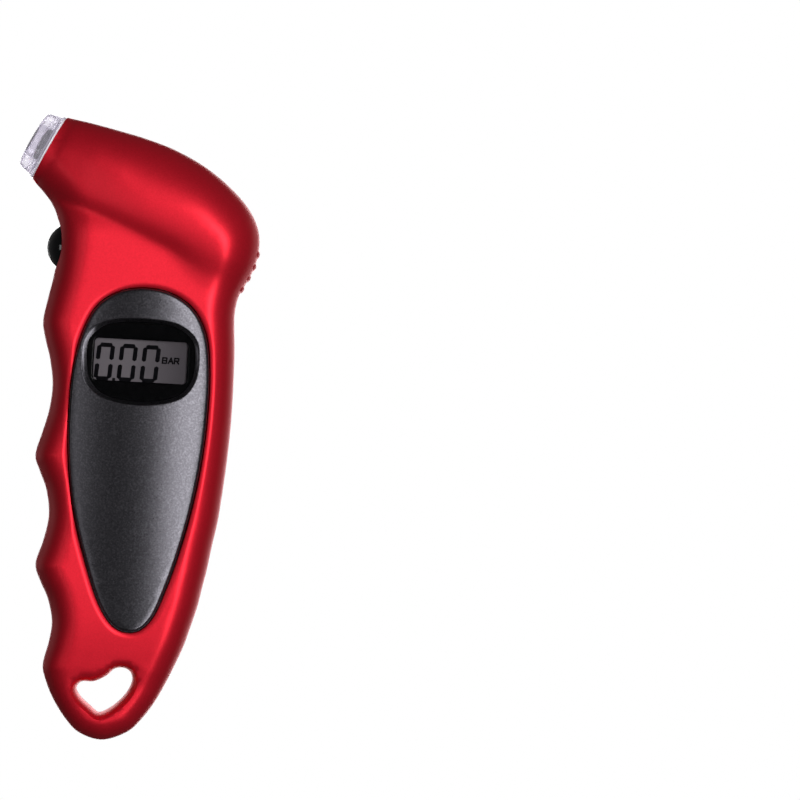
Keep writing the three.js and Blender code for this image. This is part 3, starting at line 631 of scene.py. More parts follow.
def ring_at(outline, y):
    """An outline in x, z put at one y."""
    return [(x, y, z) for x, z in outline]


NOZZLE_FRAME = turned_frame(NOZZLE_BASE, NOZZLE_TILT)
BUTTON_FRAME = turned_frame(BUTTON_BASE, BUTTON_TILT)

# ---- Materials ----


def feed(mat, node, inputs):
    """Sets inputs of a shader node: an output is linked to them, and anything else is their value."""
    for key, value in inputs.items():
        if isinstance(value, bpy.types.NodeSocket):
            mat.node_tree.links.new(value, node.inputs[key])
        else:
            node.inputs[key].default_value = value


def add(mat, kind, inputs, **settings):
    """A new shader node in a material or world."""
    node = mat.node_tree.nodes.new("ShaderNode" + kind)
    for key, value in settings.items():
        setattr(node, key, value)
    feed(mat, node, inputs)
    return node


def principled(name, color, roughness, metallic=0.0, **sockets):
    """A new material with its shader's plain values set."""
    mat = bpy.data.materials.new(name)
    mat.use_nodes = True
    shader = mat.node_tree.nodes["Principled BSDF"]
    feed(mat, shader, {"Base Color": (*color, 1), "Roughness": roughness, "Metallic": metallic})
    feed(mat, shader, {key.replace("_", " "): value for key, value in sockets.items()})
    return mat, shader


def place(mat):
    """The place on the object, in metres."""
    return add(mat, "TexCoord", {}).outputs["Object"]


def noise(mat, scale):
    """A noise pattern fixed to the object, with scale in features per metre."""
    return add(mat, "TexNoise", {"Vector": place(mat), "Scale": scale, "Detail": 2.0}).outputs["Fac"]


def ramp(mat, value, low, high, start=0.3, end=0.7):
    """A colour that runs from low to high as the value runs from start to end."""
    node = add(mat, "ValToRGB", {"Fac": value})
    for element, at, color in zip(node.color_ramp.elements, (start, end), (low, high)):
        element.position = at
        element.color = (*color, 1)
    return node.outputs["Color"]


def span(mat, value, low, high, start=0.3, end=0.7):
    """A number that runs from low to high as the value runs from start to end."""
    ends = {"From Min": start, "From Max": end, "To Min": low, "To Max": high}
    return add(mat, "MapRange", {"Value": value, **ends}).outputs["Result"]


def vector_math(mat, operation, first, second=(0, 0, 0)):
    """The outputs of a vector operation on an output and a fixed vector."""
    return add(mat, "VectorMath", {0: first, 1: second}, operation=operation).outputs


def speckled(name, low, high, scale, roughness, metallic=0.0, grain=0.0, run=(0.3, 0.7), **sockets):
    """A material whose colour and roughness vary with a fine noise, with a grain in its surface."""
    mat, shader = principled(name, high, roughness[0], metallic, **sockets)
    value = noise(mat, scale)
    feed(mat, shader, {
        "Base Color": ramp(mat, value, low, high, *run),
        "Roughness": span(mat, value, *roughness),
    })
    if grain:
        relief = add(mat, "Bump", {"Height": noise(mat, scale * GRAIN_SCALE), "Distance": grain})
        feed(mat, shader, {"Normal": relief.outputs["Normal"]})
    return mat


GRAIN_SCALE = 1.7  # how much finer a material's grain is than its speckle
FINE_GRAIN = 0.01 * MM
COARSE_GRAIN = 0.02 * MM
DISPLAY_SHADE_RUN = (-4.0, 10.5)  # painted shade darkens the display's grey between these x
BORE_SHADE_RUN = (0.1, 0.3)  # painted shade round the nozzle's bore fades out between these distances outside it
FROSTED_EDGE = (0.4, 0.5)  # its frosted edge ends between these distances from the shells

red_paint = speckled(
    "red_satin_metallic", (0.80, 0.012, 0.030), (0.88, 0.017, 0.040), 2600, (0.49, 0.53), 0.72, 0.000006,
    Specular_IOR_Level=0.35, Coat_Weight=0.1, Coat_Roughness=0.3,
)
gunmetal = speckled(
    "gunmetal_satin", (0.050, 0.048, 0.055), (0.105, 0.101, 0.114), 2400, (0.27, 0.30), 0.85, 0.000002,
    run=(0.45, 0.8),
)
gloss_black = speckled(
    "gloss_black_plastic", (0.0015, 0.0015, 0.002), (0.003, 0.003, 0.0035), 900, (0.06, 0.10),
    Specular_IOR_Level=0.6, Sheen_Weight=0.5, Sheen_Roughness=0.3,
)
frame_black = speckled(
    "display_frame_black", (0.0008, 0.0008, 0.001), (0.0016, 0.0016, 0.002), 900, (0.16, 0.24),
    Specular_IOR_Level=0.1,
)
lcd_ink = speckled(
    "lcd_segment_ink", (0.0008, 0.0006, 0.0014), (0.0018, 0.0014, 0.003), 1400, (0.3, 0.4),
    Specular_IOR_Level=0.05,
)
satin_black = speckled(
    "satin_black_plastic", (0.004, 0.004, 0.005), (0.009, 0.009, 0.010), 1800, (0.25, 0.38), 0.0, FINE_GRAIN
)
rubber = speckled(
    "black_rubber_grain", (0.010, 0.010, 0.011), (0.022, 0.022, 0.023), 2200, (0.7, 0.85), 0.0, COARSE_GRAIN
)
steel = speckled(
    "brushed_steel", (0.42, 0.42, 0.44), (0.60, 0.60, 0.62), 1800, (0.22, 0.36), 1.0, FINE_GRAIN
)
brass = speckled("turned_brass", (0.50, 0.36, 0.13), (0.66, 0.48, 0.20), 1500, (0.2, 0.34), 1.0, FINE_GRAIN)
board_green = speckled(
    "circuit_board_green", (0.006, 0.07, 0.022), (0.012, 0.12, 0.04), 700, (0.3, 0.45), 0.0, COARSE_GRAIN
)
wire_grey = speckled(
    "wire_insulation_grey", (0.12, 0.13, 0.14), (0.20, 0.21, 0.22), 900, (0.45, 0.6), 0.0, FINE_GRAIN
)
resin = speckled(
    "led_resin_white", (0.75, 0.72, 0.60), (0.88, 0.86, 0.76), 1200, (0.3, 0.45), 0.0, FINE_GRAIN
)
light_guide = speckled(
    "light_guide_white", (0.70, 0.70, 0.68), (0.85, 0.85, 0.83), 900, (0.4, 0.55), 0.0, FINE_GRAIN
)


def in_metres(pair):
    """Two lengths in metres."""
    return pair[0] * MM, pair[1] * MM


def display_grey():
    """The display's grey reflector, with painted shade that darkens it towards its right end."""
    mat, shader = principled("lcd_reflector_grey", (0.2, 0.18, 0.2), 0.4, Specular_IOR_Level=0.15)
    x = add(mat, "SeparateXYZ", {"Vector": place(mat)}).outputs["X"]
    # painted shade: the grey darkens towards the right end across this span
    across = span(mat, x, 0.0, 1.0, *in_metres(DISPLAY_SHADE_RUN))
    feed(mat, shader, {
        "Base Color": ramp(mat, across, (0.19, 0.17, 0.188), (0.070, 0.060, 0.070), 0.0, 1.0),
        "Roughness": span(mat, noise(mat, 1400), 0.35, 0.45),
    })
    return mat


def clear_plastic():
    """Clear lilac plastic with a cloudy tone, a faint painted glow, painted shade darkening it near its
    bore, and frosted white along its edge beside the shells.
    """
    # Its faint emission is a painted glow.
    mat, shader = principled(
        "clear_lilac_plastic", (0.88, 0.85, 0.96), 0.1, IOR=1.36,
        Emission_Color=(0.9, 0.86, 1.0, 1.0), Emission_Strength=0.05,
    )
    axis = (NOZZLE_OUT[0], 0, NOZZLE_OUT[1])
    base = (NOZZLE_BASE[0] * MM, 0, NOZZLE_BASE[1] * MM)
    from_base = vector_math(mat, "SUBTRACT", place(mat), base)["Vector"]
    along = vector_math(mat, "DOT_PRODUCT", from_base, axis)["Value"]
    sideways = vector_math(mat, "CROSS_PRODUCT", from_base, axis)["Vector"]
    off_bore = vector_math(mat, "LENGTH", sideways)["Value"]
    fade = [(MOUTH_RADIUS + distance) * MM for distance in BORE_SHADE_RUN]
    # A cloudy tone from the noise, pulled dark near the bore as painted shade.
    value = noise(mat, 500)
    factors = {0: value, 1: span(mat, off_bore, 0.4, 1.0, *fade)}
    cloud_and_bore_shade = add(mat, "Math", factors, operation="MULTIPLY").outputs["Value"]
    feed(mat, shader, {
        "Base Color": ramp(mat, cloud_and_bore_shade, (0.50, 0.48, 0.54), (0.94, 0.91, 0.98), 0.18, 0.42),
        "Roughness": span(mat, value, 0.06, 0.13),
        "Transmission Weight": span(mat, along, 0.1, 0.88, *in_metres(FROSTED_EDGE)),
    })
    return mat


def window_plastic():
    """The thin display cover: see-through, with a faint smoky gloss."""
    mat, shader = principled("smoked_display_cover", (0.002, 0.002, 0.003), 0.08, Alpha=0.1)
    feed(mat, shader, {"Roughness": span(mat, noise(mat, 400), 0.06, 0.12)})
    return mat


lcd_grey = display_grey()
clear_tip = clear_plastic()
display_cover = window_plastic()

# ---- Shells ----

EDGE_ANGLES = np.radians([4, 9, 15, 21, 27, 33, 39, 45, 52, 59, 66, 73, 81, 90])
HEART_ANGLES = np.radians([6, 14, 22, 31, 40, 50, 60, 70, 80, 90])
# Distances outside the panel's outline, joined as lines near it and left as loose points further out.
LIP_LINES = [0.45, 0.6, 0.72, 0.82, 0.92, 1.02, 1.12, 1.24, 1.38, 1.54]
LIP_POINTS = [1.75, 2.05, 2.5, 3.1]
SCREW_LINES = [2.44, 2.5, 2.58, 2.7, 2.9, 3.2]  # radii of the lines round a screw hole
SCREW_ROUNDING = 0.3
EDGE_MARGIN = 1.6  # the edge's rings are lines up to this depth, and others keep this far from it
HEART_JOINED = 0.7  # the hole's rings are lines up to this angle, in radians
HEART_TRUE = 0.97  # a ring's point is kept where it is as deep as it should be, down to this share
EDGE_TRUE = 0.985
HEART_RING_GAP = 0.4  # loose points of a ring keep this far from what is there
EDGE_RING_GAP = 0.45
TOUCH = 1e-3  # what is nearer than this is taken as touching
# The rings along the edge and the grid of loose points keep these distances.
RING_CUT_MARGIN = 0.12
GRID_CUT_MARGIN = 0.5
GRID_EDGE_MARGIN = 1.5
HEART_MARGIN = 0.4
PANEL_MARGIN = 2.2
SCREW_MARGIN = 3.4


def add_ring(region, ring, keep, as_line, closed, gap):
    """A ring's free points, joined by a line or as loose points that keep a gap."""
    if as_line:
        region.add_line(ring, closed, keep)
    else:
        region.add_apart(ring[keep], gap)


def add_heart_rings(region, heart):
    """Rings round the lanyard hole where its rounding turns."""
    outwards = left_normals(heart)
    for angle in HEART_ANGLES:
        depth = HEART_ROUNDING * (1 - math.cos(angle))
        ring = heart + outwards * depth
        free = distance_to_line(ring, HEART_LOOP) > depth * HEART_TRUE - TOUCH
        keep = free & (distance_to_line(ring, BODY_EDGE, False) > EDGE_MARGIN)
        add_ring(region, ring, keep, angle < HEART_JOINED, True, HEART_RING_GAP)


def add_body_rings(region, edge, blocked):
    """Rings along the edge where its rounding turns, as far in as they run free."""
    inwards = left_normals(edge, False)
    radius = Surface(edge).radius
    for angle in EDGE_ANGLES:
        depth = radius * (1 - math.cos(angle))
        ring = edge + inwards * depth[:, None]
        free = distance_to_line(ring, BODY_EDGE, False) > depth * EDGE_TRUE - TOUCH
        keep = free & (from_cut(ring) > RING_CUT_MARGIN) & ~blocked(ring)
        add_ring(region, ring, keep, depth.max() < EDGE_MARGIN, False, EDGE_RING_GAP)


def shell_region(side):
    """Triangles over one shell in the x, z plane."""
    edge = resample(BODY_EDGE, closed=False)
    turns = np.radians(np.arange(6, 180, 6))
    cut_line = NOZZLE_BASE + NOZZLE_UP * (NOZZLE_RADIUS * np.cos(turns))[:, None]
    outline = np.vstack([edge, cut_line])
    heart = resample(HEART_LOOP, HEART_STEP)
    region = Region(outline, heart)
    screws = (SCREW_UPPER, SCREW_LOWER) if side > 0 else ()
    if side < 0:
        region.add_loop(resample(grown(PANEL_LOOP, PANEL_GAP)))
        region.add_rings(PANEL_LOOP, LIP_LINES)
        for offset in LIP_POINTS:
            region.add_points(resample(grown(PANEL_LOOP, offset)))
    for centre in screws:
        region.add_loop(centre + circle(40) * SCREW_HOLE_RADIUS)
        for radius in SCREW_LINES:
            region.add_line(centre + circle(40) * radius, True)

    def blocked(points):
        out = signed_distance(points, HEART_LOOP) < HEART_MARGIN
        if side < 0:
            out |= inside(points, grown(PANEL_LOOP, PANEL_MARGIN))
        for centre in screws:
            out |= np.linalg.norm(points - centre, axis=1) < SCREW_MARGIN
        return out

    add_heart_rings(region, heart)
    add_body_rings(region, edge, blocked)
    grid = grid_over(BODY_EDGE, SHELL_GRID)
    grid = grid[inside(grid, outline) & (distance_to_line(grid, BODY_EDGE, False) > GRID_EDGE_MARGIN)]
    grid = grid[(from_cut(grid) > GRID_CUT_MARGIN) & ~blocked(grid)]
    region.add_apart(grid)
    return region.fill()


def screw_rim(points):
    """How much the rear shell's face drops at the rounded rims of the screw holes."""
    drop = np.zeros(len(points))
    for centre in (SCREW_UPPER, SCREW_LOWER):
        off = np.linalg.norm(points - centre, axis=1) - SCREW_HOLE_RADIUS
        drop += SCREW_ROUNDING * (1 - rounding(np.clip(off, 0, None) / SCREW_ROUNDING))
    return drop


def thumb_rib(at, side):
    """Half of a small rib for the thumb, bent round the spine edge and running out on the shell's face."""
    here, ahead = catmull_rom(STATIONS[:, 2:4], np.array([at, at + 0.05]))
    along = (ahead - here) / np.linalg.norm(ahead - here)
    inwards = np.array([along[1], -along[0]])
    *heights, radius = catmull_rom(STATIONS[:, 4:7], np.array([at]))[0]
    rise = heights[0 if side < 0 else 1] - RIB_SINK
    rings = []
    for share in np.linspace(0, 1, 14):
        turn = RIB_RUN * share
        size = RIB_RADIUS * math.sqrt(1 - share**2.2) + RIB_END
        across, off = here + inwards * (radius * (1 - math.cos(turn)) + RIB_DEPTH), -inwards * math.cos(turn)
        height = PARTING / 2 + rise * math.sin(turn)
        centre = np.array([across[0], side * height, across[1]])
        outwards = np.array([off[0], side * math.sin(turn), off[1]])
        x, y = circle(16).T[:, :, None] * size
        ring = centre + outwards * x + np.array([along[0], 0, along[1]]) * y
        ring[:, 1] = side * np.maximum(side * ring[:, 1], PARTING / 2)
        rings.append(ring)
    return stacked(rings)


def cut_by(obj, tool_solid):
    """Takes a solid away from an object's mesh."""
    tool = make_object("tool", make_mesh("tool", *oriented(*tool_solid)))
    cutting = obj.modifiers.new("cut", "BOOLEAN")
    cutting.operation = "DIFFERENCE"
    cutting.solver = "EXACT"
    cutting.object = tool
    bpy.context.view_layer.update()
    graph = bpy.context.evaluated_depsgraph_get()
    old, obj.data = obj.data, bpy.data.meshes.new_from_object(obj.evaluated_get(graph))
    obj.modifiers.remove(cutting)
    bpy.data.meshes.remove(old)
    obj.data.name = obj.name
    bpy.data.objects.remove(tool)


def button_hole():
    """The round hole at the finger edge, down its own axis."""
    profile = [(0, -5.0), (BUTTON_HOLE_RADIUS, -5.0), (BUTTON_HOLE_RADIUS, 7), (0, 7)]
    return lathe(profile, BUTTON_FRAME, 96)


def shell(side):
    """A shell between its outer and inner faces, with its halves of the thumb ribs."""
    verts, faces = shell_region(side)
    surface = Surface(verts)
    top = surface.outer(side)
    if side > 0:
        top = top - screw_rim(verts)
    bottom = np.minimum(surface.inner(side), top)
    at_edge = (surface.edge < TOUCH) | (surface.heart < TOUCH)
    bottom = np.where(at_edge, top, bottom)
    return [slab(verts, faces, side * top, side * bottom)] + [thumb_rib(at, side) for at in THUMB_RIBS]


def screw_seats():
    """The walls and floors that the shell screws sit on, inside the rear shell."""
    upper = [(1.6, 2.0), (3.4, 2.0), (3.4, 11.6), (2.4, 11.6), (2.4, 3.0), (1.6, 3.0)]
    lower = [(1.6, 2.0), (2.38, 2.0), (2.38, 3.0), (1.6, 3.0)]
    return [lathe(upper, along_y(SCREW_UPPER), 40), lathe(lower, along_y(SCREW_LOWER), 40)]


front = piece("front_shell_face", shell(-1), red_paint, replaces=("front_shell",), sharp=50)
cut_by(front, button_hole())
rear_solids = shell(1) + screw_seats()
rear = piece("rear_shell_face", rear_solids, red_paint, replaces=("rear_shell",), sharp=50)
cut_by(rear, button_hole())

# ---- Display panel ----


def panel_front(points):
    """y of the panel's crowned front."""
    x, z = points[:, 0], points[:, 1]
    at = np.interp(z, PANEL_CROWN[:, 0], np.arange(len(PANEL_CROWN)))
    crown = catmull_rom(PANEL_CROWN[:, 1:], at)[:, 0]
    return -crown + PANEL_EDGE_DROP * ((x - PANEL_CENTRE_X) / PANEL_HALF_WIDTH) ** 2


WALL_SLOPE = 0.7  # how far the recess's wall slopes in
WALL_SLOPE_MORE = 0.35  # and how much further at the nozzle's side
WALL_TURN = (-10.5, 3.5)  # the slope grows from this x on, over this distance
FOOT_DEPTH = 0.12  # the wall's foot lies this far in front of the recess's floor
FOOT_BACK = 0.05
POST_X = -1.5
POST_HEIGHTS = (29.4, -27.0)
POST_PROFILE = [(0.9, -12.4), (2.0, -12.4), (2.0, -5.4), (0.9, -5.4)]


def window_wall(points):
    """How far the recess's wall slopes in."""
    return WALL_SLOPE + WALL_SLOPE_MORE * smoothstep((WALL_TURN[0] - points[:, 0]) / WALL_TURN[1])


def panel_solid():
    """The crowned panel with its rounded rim and the recess for the display."""
    foot_loop = grown(WINDOW_LOOP, -window_wall(WINDOW_LOOP)[:, None])
    region = Region(resample(PANEL_LOOP), resample(foot_loop, WINDOW_STEP))
    region.add_rings(PANEL_LOOP, -PANEL_RIM * (1 - np.cos(np.radians([12, 25, 38, 52, 68, 90]))))
    region.add_rings(WINDOW_LOOP, (-0.5, -0.25, 0.0, 0.03, 0.12, 0.25, 0.4, 0.6), WINDOW_STEP)
    grid = grid_over(PANEL_LOOP, PANEL_GRID)
    grid = grid[inside(grid, grown(PANEL_LOOP, -1.4)) & ~inside(grid, grown(WINDOW_LOOP, 1.1))]
    region.add_apart(grid)
    verts, faces = region.fill()
    rim = distance_to_line(verts, PANEL_LOOP)
    window = signed_distance(verts, WINDOW_LOOP)
    top = panel_front(verts) + PANEL_RIM * (1 - rounding(rim / PANEL_RIM))
    lip = WINDOW_EDGE * (1 - rounding(np.clip(window, 0, None) / WINDOW_EDGE))
    wall = np.clip(-window / window_wall(verts), 0, 1)
    foot = WINDOW_FLOOR - FOOT_DEPTH
    top = np.where(window > 0, top + lip, (top + WINDOW_EDGE) * (1 - wall) + foot * wall)
    bottom = np.where(window > 0.02, PANEL_BACK, WINDOW_FLOOR - FOOT_BACK)
    return slab(verts, faces, top, bottom)


def board_posts():
    """Two posts behind the panel for the main board's screws."""
    return [lathe(POST_PROFILE, along_y((POST_X, z)), 32) for z in POST_HEIGHTS]


panel_solids = [panel_solid()] + board_posts()
piece("panel_face", panel_solids, gunmetal, replaces=("display_panel",), sharp=40)

# ---- Display ----

LENS_THICKNESS = 0.45
LENS_ROUNDING = 0.35
LENS_DROP = 0.2  # how far its rounded edge lies back
LCD_HALF = (11.1, 5.0)  # half the frame's opening
LCD_CORNER = 1.0
LCD_BEVEL = 0.5
LCD_BEVEL_DEPTH = 0.35
FRAME_FRONT = WINDOW_FLOOR + 0.6
TRAY_BACK = -5.4
GLASS_HALF = (11.4, 5.7)
GLASS_BEVEL = 0.15
GLASS_FRONT = -11.1
GLASS_BACK = -8.9


def rounded_box(half_x, half_z, corner, steps=8):
    """A clockwise rounded rectangle in x, z round the display's middle."""
    points = []
    for quarter, (sx, sz) in enumerate(((1, 1), (1, -1), (-1, -1), (-1, 1))):
        for turn in np.linspace(0, math.pi / 2, steps + 1) + quarter * math.pi / 2:
            points.append((
                DISPLAY_X + sx * (half_x - corner) + corner * math.sin(turn),
                DISPLAY_Z + sz * (half_z - corner) + corner * math.cos(turn),
            ))
    return np.array(points)


def lens_solid():
    """The display cover, with its edge rounded."""
    outline = grown(WINDOW_LOOP, -WINDOW_FIT)
    region = Region(resample(outline))
    region.add_rings(WINDOW_LOOP, -WINDOW_FIT - np.array([0.08, 0.2, LENS_ROUNDING]))
    grid = grid_over(outline, LENS_GRID)
    region.add_points(grid[inside(grid, grown(WINDOW_LOOP, -1.4))])
    verts, faces = region.fill()
    rim = distance_to_line(verts, outline)
    top = WINDOW_FLOOR + LENS_DROP * (1 - rounding(rim / LENS_ROUNDING))
    return slab(verts, faces, top, WINDOW_FLOOR + LENS_THICKNESS)


def frame_solid():
    """The black frame behind the cover, with a bevelled opening for the display."""
    outline = grown(WINDOW_LOOP, -WINDOW_FIT)
    rim = rounded_box(*LCD_HALF, LCD_CORNER)
    region = Region(resample(outline), rim)
    for offset in (0.12, 0.3, LCD_BEVEL):
        region.add_line(rounded_box(LCD_HALF[0] + offset, LCD_HALF[1] + offset, LCD_CORNER + offset), True)
    grid = grid_over(outline, FRAME_GRID)
    opening = rounded_box(LCD_HALF[0] + 1, LCD_HALF[1] + 1, LCD_CORNER)
    region.add_points(grid[inside(grid, grown(WINDOW_LOOP, -1.0)) & ~inside(grid, opening)])
    verts, faces = region.fill()
    off = distance_to_line(verts, rim)
    top = FRAME_FRONT + LCD_BEVEL_DEPTH * (1 - rounding(off / LCD_BEVEL))
    return slab(verts, faces, top, PANEL_BACK)


def tray_solid():
    """The wall behind the frame's face that holds the display."""
    opening = rounded_box(LCD_HALF[0] + 0.5, LCD_HALF[1] + 0.9, 0.3)
    verts, faces = Region(resample(grown(WINDOW_LOOP, -1.0)), opening).fill()
    return slab(verts, faces, PANEL_BACK - 0.1, TRAY_BACK)


def lcd_solid():
    """The display's glass, a thin plate with bevelled edges."""
    half_x, half_z = GLASS_HALF
    face = rounded_box(half_x - GLASS_BEVEL, half_z - GLASS_BEVEL, 0.3)
    body = rounded_box(half_x, half_z, 0.4)
    return stacked([
        ring_at(face, GLASS_FRONT), ring_at(body, GLASS_FRONT + GLASS_BEVEL),
        ring_at(body, GLASS_BACK - GLASS_BEVEL), ring_at(face, GLASS_BACK),
    ])


DIGIT_HEIGHT = 8.0
DIGIT_WIDTH = 3.2
DIGIT_PITCH = 5.45
STROKE = 1.02
SLANT = math.tan(math.radians(4.0))
SEGMENT_GAP = 0.08  # a segment's ends stand this far from the figure's corners
MIDDLE_GAP = 0.45  # and this far from its middle
FIRST_FIGURE = np.array([DISPLAY_X - 10.5, DISPLAY_Z - 4.6])
UNIT_AT = (DISPLAY_X + 5.15, DISPLAY_Z - 0.2)
UNIT_PITCH = 1.42
UNIT_CELL = (0.525, 0.42)  # width and height of a square of the letters' grid
UNIT_STROKE = 0.34
INK_FRONT = -11.16
INK_BACK = -11.11


def ink(outline, origin):
    """A flat mark on the display, leaning to the right, from an outline in its own x, z."""
    points = [(origin[0] + x + z * SLANT, origin[1] + z) for x, z in outline]
    return stacked([ring_at(points, INK_FRONT), ring_at(points, INK_BACK)])


def directions(start, end, width):
    """A stroke's ends, with half its width along it and to its left."""
    a, b = np.array(start, float), np.array(end, float)
    along = (b - a) / np.linalg.norm(b - a) * width / 2
    return a, b, along, np.array([-along[1], along[0]])


def segment(start, end, width):
    """A display segment between two points, with pointed ends."""
    a, b, along, side = directions(start, end, width)
    tip = along * 0.6
    return [a, a + tip + side, b - tip + side, b, b - tip - side, a + tip - side]


def bar(start, end, width):
    """A plain stroke between two points, with square ends."""
    a, b, along, side = directions(start, end, width)
    return [a - along + side, b + along + side, b + along - side, a - along - side]


def zero(origin):
    """A figure 0 on seven segments: all but the middle one."""
    middle = DIGIT_HEIGHT / 2
    strokes = [((SEGMENT_GAP, z), (DIGIT_WIDTH - SEGMENT_GAP, z)) for z in (DIGIT_HEIGHT, 0)]
    strokes += [((x, middle + MIDDLE_GAP), (x, DIGIT_HEIGHT - SEGMENT_GAP)) for x in (0, DIGIT_WIDTH)]
    strokes += [((x, SEGMENT_GAP), (x, middle - MIDDLE_GAP)) for x in (0, DIGIT_WIDTH)]
    return [ink(segment(a, b, STROKE), origin) for a, b in strokes]


def digits():
    """Three noughts with the point after the first."""
    parts = []
    for number in range(3):
        parts += zero(FIRST_FIGURE + [number * DIGIT_PITCH, 0])
    dot = FIRST_FIGURE + [(DIGIT_WIDTH + DIGIT_PITCH) / 2, -0.1]
    parts.append(ink([(-0.35, -0.3), (-0.35, 0.35), (0.35, 0.35), (0.35, -0.3)], dot))
    return parts


# The unit's letters as strokes on a grid 2 wide and 3 tall.
UNIT_LETTERS = [
    [((0, 0), (0, 3)), ((0, 3), (1.6, 3)), ((0, 1.5), (1.6, 1.5)), ((0, 0), (1.6, 0)),
     ((1.8, 1.7), (1.8, 2.8)), ((1.8, 0.2), (1.8, 1.3))],
    [((0, 0), (1, 3)), ((1, 3), (2, 0)), ((0.4, 1.1), (1.6, 1.1))],
    [((0, 0), (0, 3)), ((0, 3), (1.6, 3)), ((0, 1.5), (1.6, 1.5)), ((1.8, 1.7), (1.8, 2.8)),
     ((0.9, 1.5), (1.9, 0))],
]


def unit():
    """The unit beside the figures, in plain capitals."""
    parts = []
    for number, strokes in enumerate(UNIT_LETTERS):
        origin = (UNIT_AT[0] + number * UNIT_PITCH, UNIT_AT[1])
        for stroke in strokes:
            start, end = np.array(stroke) * UNIT_CELL
            parts.append(ink(bar(start, end, UNIT_STROKE), origin))
    return parts


piece("display_cover_face", [lens_solid()], display_cover, replaces=("display_lens",))
frame_solids = [frame_solid(), tray_solid()]
piece("display_frame_face", frame_solids, frame_black, replaces=("lcd_frame",))
piece("lcd_plate", [lcd_solid()], lcd_grey, replaces=("lcd_glass",))
piece("lcd_figures", digits() + unit(), lcd_ink)

# ---- Nozzle ----

# Closed profiles of (radius, height above the shells' mouth).
TIP_PROFILE = [
    (MOUTH_RADIUS, -6.2), (5.9, -6.2), (5.9, 0.08), (8.3, 0.08), (8.36, 0.16), (8.34, 0.6), (8.26, 0.8),
    (8.05, 0.95), (7.9, 1.2), (7.35, 3.6), (7.22, 3.95), (7.0, 4.3), (6.72, 4.55), (6.4, 4.7), (6.0, 4.8),
    (4.95, 4.8), (4.7, 4.74), (4.5, 4.6), (MOUTH_RADIUS, 4.35),
]
SEAL_PROFILE = [
    (2.0, -3.0), (4.1, -3.0), (4.1, 1.1), (4.0, 1.25), (3.8, 1.4), (3.5, 1.45), (2.6, 1.45), (2.3, 1.38),
    (2.1, 1.2), (2.0, 1.0),
]
PIN_PROFILE = [
    (0.6, -9.0), (0.95, -9.0), (0.95, -0.9), (1.6, -0.9), (1.7, -0.8), (1.7, 0.3), (1.62, 0.46), (1.4, 0.58),
    (0.75, 0.6), (0.6, 0.5),
]

tip, seal, pin = (
    lathe(profile, NOZZLE_FRAME, segments)
    for profile, segments in ((TIP_PROFILE, 96), (SEAL_PROFILE, 72), (PIN_PROFILE, 72))
)
piece("nozzle_tip_clear", [tip], clear_tip, replaces=("nozzle_tip",), sharp=45)
piece("nozzle_gasket", [seal], rubber, replaces=("nozzle_seal",))
piece("depressor_pin", [pin], brass, replaces=("valve_depressor",))

# ---- Button ----

FLANGE_RADIUS = 7.2
BUTTON_BORE = 4.8
STEM_RADIUS = 1.7


def button_solid():
    """The domed button with the flange that keeps it in the shells and the stem that presses the switch."""
    turns = np.linspace(0, math.pi / 2, 15)
    drops = BUTTON_RADIUS * (1 - np.cos(turns))
    dome = list(zip(BUTTON_RADIUS * np.sin(turns), BUTTON_RISE - drops))
    skirt = [
        (BUTTON_RADIUS, -4.3), (FLANGE_RADIUS, -4.3), (FLANGE_RADIUS, -5.1), (BUTTON_BORE, -5.1),
        (BUTTON_BORE, -1.0), (STEM_RADIUS, -1.0), (STEM_RADIUS, -5.3), (0, -5.3),
    ]
    return lathe(dome + skirt, BUTTON_FRAME, 80)


cap = [button_solid()]
piece("button_cap", cap, gloss_black, body="button", replaces=("power_button",), sharp=40)

# ---- Pieces that keep their CAD meshes ----

KEPT_MESHES = (
    (steel, ("shell_screw_upper", "shell_screw_lower", "board_screw_upper", "board_screw_lower", "coin_cell",
             "battery_clip", "pressure_sensor")),
    (brass, ("battery_contact", "air_chamber")),
    (board_green, ("main_board", "led_board", "switch_board")),
    (wire_grey, ("sensor_wires", "led_wires", "switch_wires")),
    (satin_black, ("controller_chip", "switch_plunger", "switch_body")),
    (rubber, ("lcd_connector", "sensor_o_ring")),
    (resin, ("nozzle_led_upper", "nozzle_led_lower")),
    (light_guide, ("backlight_plate",)),
)
for mat, names in KEPT_MESHES:
    for name in names:
        node = frame["nodes"][name]
        node.data.materials.clear()
        node.data.materials.append(mat)

# ---- Floor, world, lights, camera (metres) ----


FLOOR_RADIUS = 1.5
FLOOR_DROP = 0.30  # the floor lies this far below the gauge's middle
FLOOR_LIGHT_DROP = 0.16
FLOOR_LIGHT_SIZE = 6.0
FLOOR_LIGHT_POWER = 88
WORLD_LIGHT = 0.05
WHITE = (1, 1, 1, 1)


def floor():
    """A pale round floor well below the gauge."""
    verts = [(x, y, -FLOOR_DROP) for x, y in circle(96) * FLOOR_RADIUS]
    mesh = bpy.data.meshes.new("floor")
    mesh.from_pydata(verts, [], [tuple(range(len(verts)))])
    mesh.materials.append(speckled("pale_floor", (0.81, 0.81, 0.81), (0.83, 0.83, 0.83), 30, (0.7, 0.8)))
    obj = make_object("floor", mesh)
    obj.visible_diffuse = False
    obj.visible_glossy = False


def world():
    """White to look at, straight or through the clear plastic, and dim as a light."""
    made = bpy.data.worlds.new("studio")
    made.use_nodes = True
    seen = made.node_tree.nodes["Background"]
    feed(made, seen, {"Color": WHITE, "Strength": 1.0})
    cast = add(made, "Background", {"Color": WHITE, "Strength": WORLD_LIGHT})
    rays = add(made, "LightPath", {}).outputs
    looks = {0: rays["Is Camera Ray"], 1: rays["Is Transmission Ray"]}
    share = add(made, "Math", looks, operation="MAXIMUM").outputs["Value"]
    lit = {"Fac": share, 1: cast.outputs["Background"], 2: seen.outputs["Background"]}
    mix = add(made, "MixShader", lit)
    feed(made, made.node_tree.nodes["World Output"], {"Surface": mix.outputs["Shader"]})
    bpy.context.scene.world = made


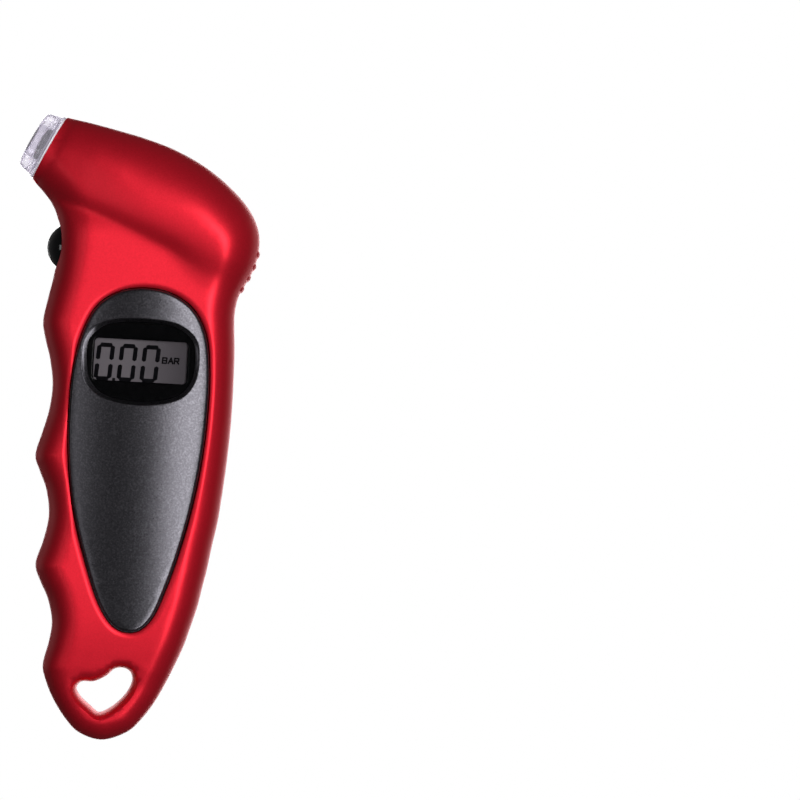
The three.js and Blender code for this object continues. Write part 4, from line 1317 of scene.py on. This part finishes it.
def area_light(name, shape, at, size, power):
    """A light that only lights: it isn't seen straight or through the clear plastic."""
    light = bpy.data.lights.new(name, "AREA")
    light.shape = shape
    light.size, light.size_y = size
    light.energy = power
    obj = make_object(name, light)
    obj.location = at
    obj.visible_camera = False
    obj.visible_transmission = False
    return obj


def softbox(name, at, size, power):
    """A rectangular light aimed at the gauge."""
    obj = area_light(name, "RECTANGLE", at, size, power)
    obj.rotation_euler = (-Vector(at)).to_track_quat("-Z", "Y").to_euler()


def floor_light():
    """A wide, even light under the gauge that only the floor receives."""
    size = (FLOOR_LIGHT_SIZE, FLOOR_LIGHT_SIZE)
    obj = area_light("floor_light", "DISK", (0, 0, -FLOOR_LIGHT_DROP), size, FLOOR_LIGHT_POWER)
    obj.visible_glossy = False


def aimed_from(turn, distance, rise=0):
    """A place turned to the right of straight in front, and raised, both in degrees."""
    turn, rise = math.radians(turn), math.radians(rise)
    level = distance * math.cos(rise)
    return level * math.sin(turn), -level * math.cos(turn), distance * math.sin(rise)


CAMERA_DISTANCE = 1.07
CAMERA_ROLL = math.radians(3.1)
AIM_RIGHT = 0.0617  # the gauge stands this far left of the picture's centre
AIM_UP = 0.0072
LENS = 200  # mm
SENSOR = 36


def camera():
    """A long lens straight in front of the gauge, turned so that the gauge stands left of the centre."""
    right = Vector((math.cos(CAMERA_ROLL), 0, math.sin(CAMERA_ROLL)))
    up = Vector((-math.sin(CAMERA_ROLL), 0, math.cos(CAMERA_ROLL)))
    forward = (Vector((0, CAMERA_DISTANCE, 0)) + right * AIM_RIGHT + up * AIM_UP).normalized()
    side = forward.cross(up).normalized()
    data = bpy.data.cameras.new("camera")
    data.lens = LENS
    data.sensor_width = SENSOR
    data.clip_end = 20
    obj = make_object("camera", data)
    obj.matrix_world = axes(side, side.cross(forward), -forward, (0, -CAMERA_DISTANCE, 0))
    bpy.context.scene.camera = obj


floor()
world()
# Name, place, width and height in metres, and power.
for light in (
    ("front_key", aimed_from(24, 1.25, -1), (0.44, 1.6), 19.5),
    ("left_front", aimed_from(-28, 1.3), (0.3, 1.0), 1.5),
    ("button_glint", aimed_from(-56, 1.3), (0.22, 0.45), 0.7),
    ("left_rim", aimed_from(-142, 1.3), (0.15, 0.6), 0.22),
    ("back_key", aimed_from(178, 1.3), (0.8, 1.0), 9),
    ("back_side", aimed_from(156, 1.3), (0.5, 0.9), 1.4),
):
    softbox(*light)
floor_light()
camera()
bpy.context.scene.view_settings.view_transform = "Standard"
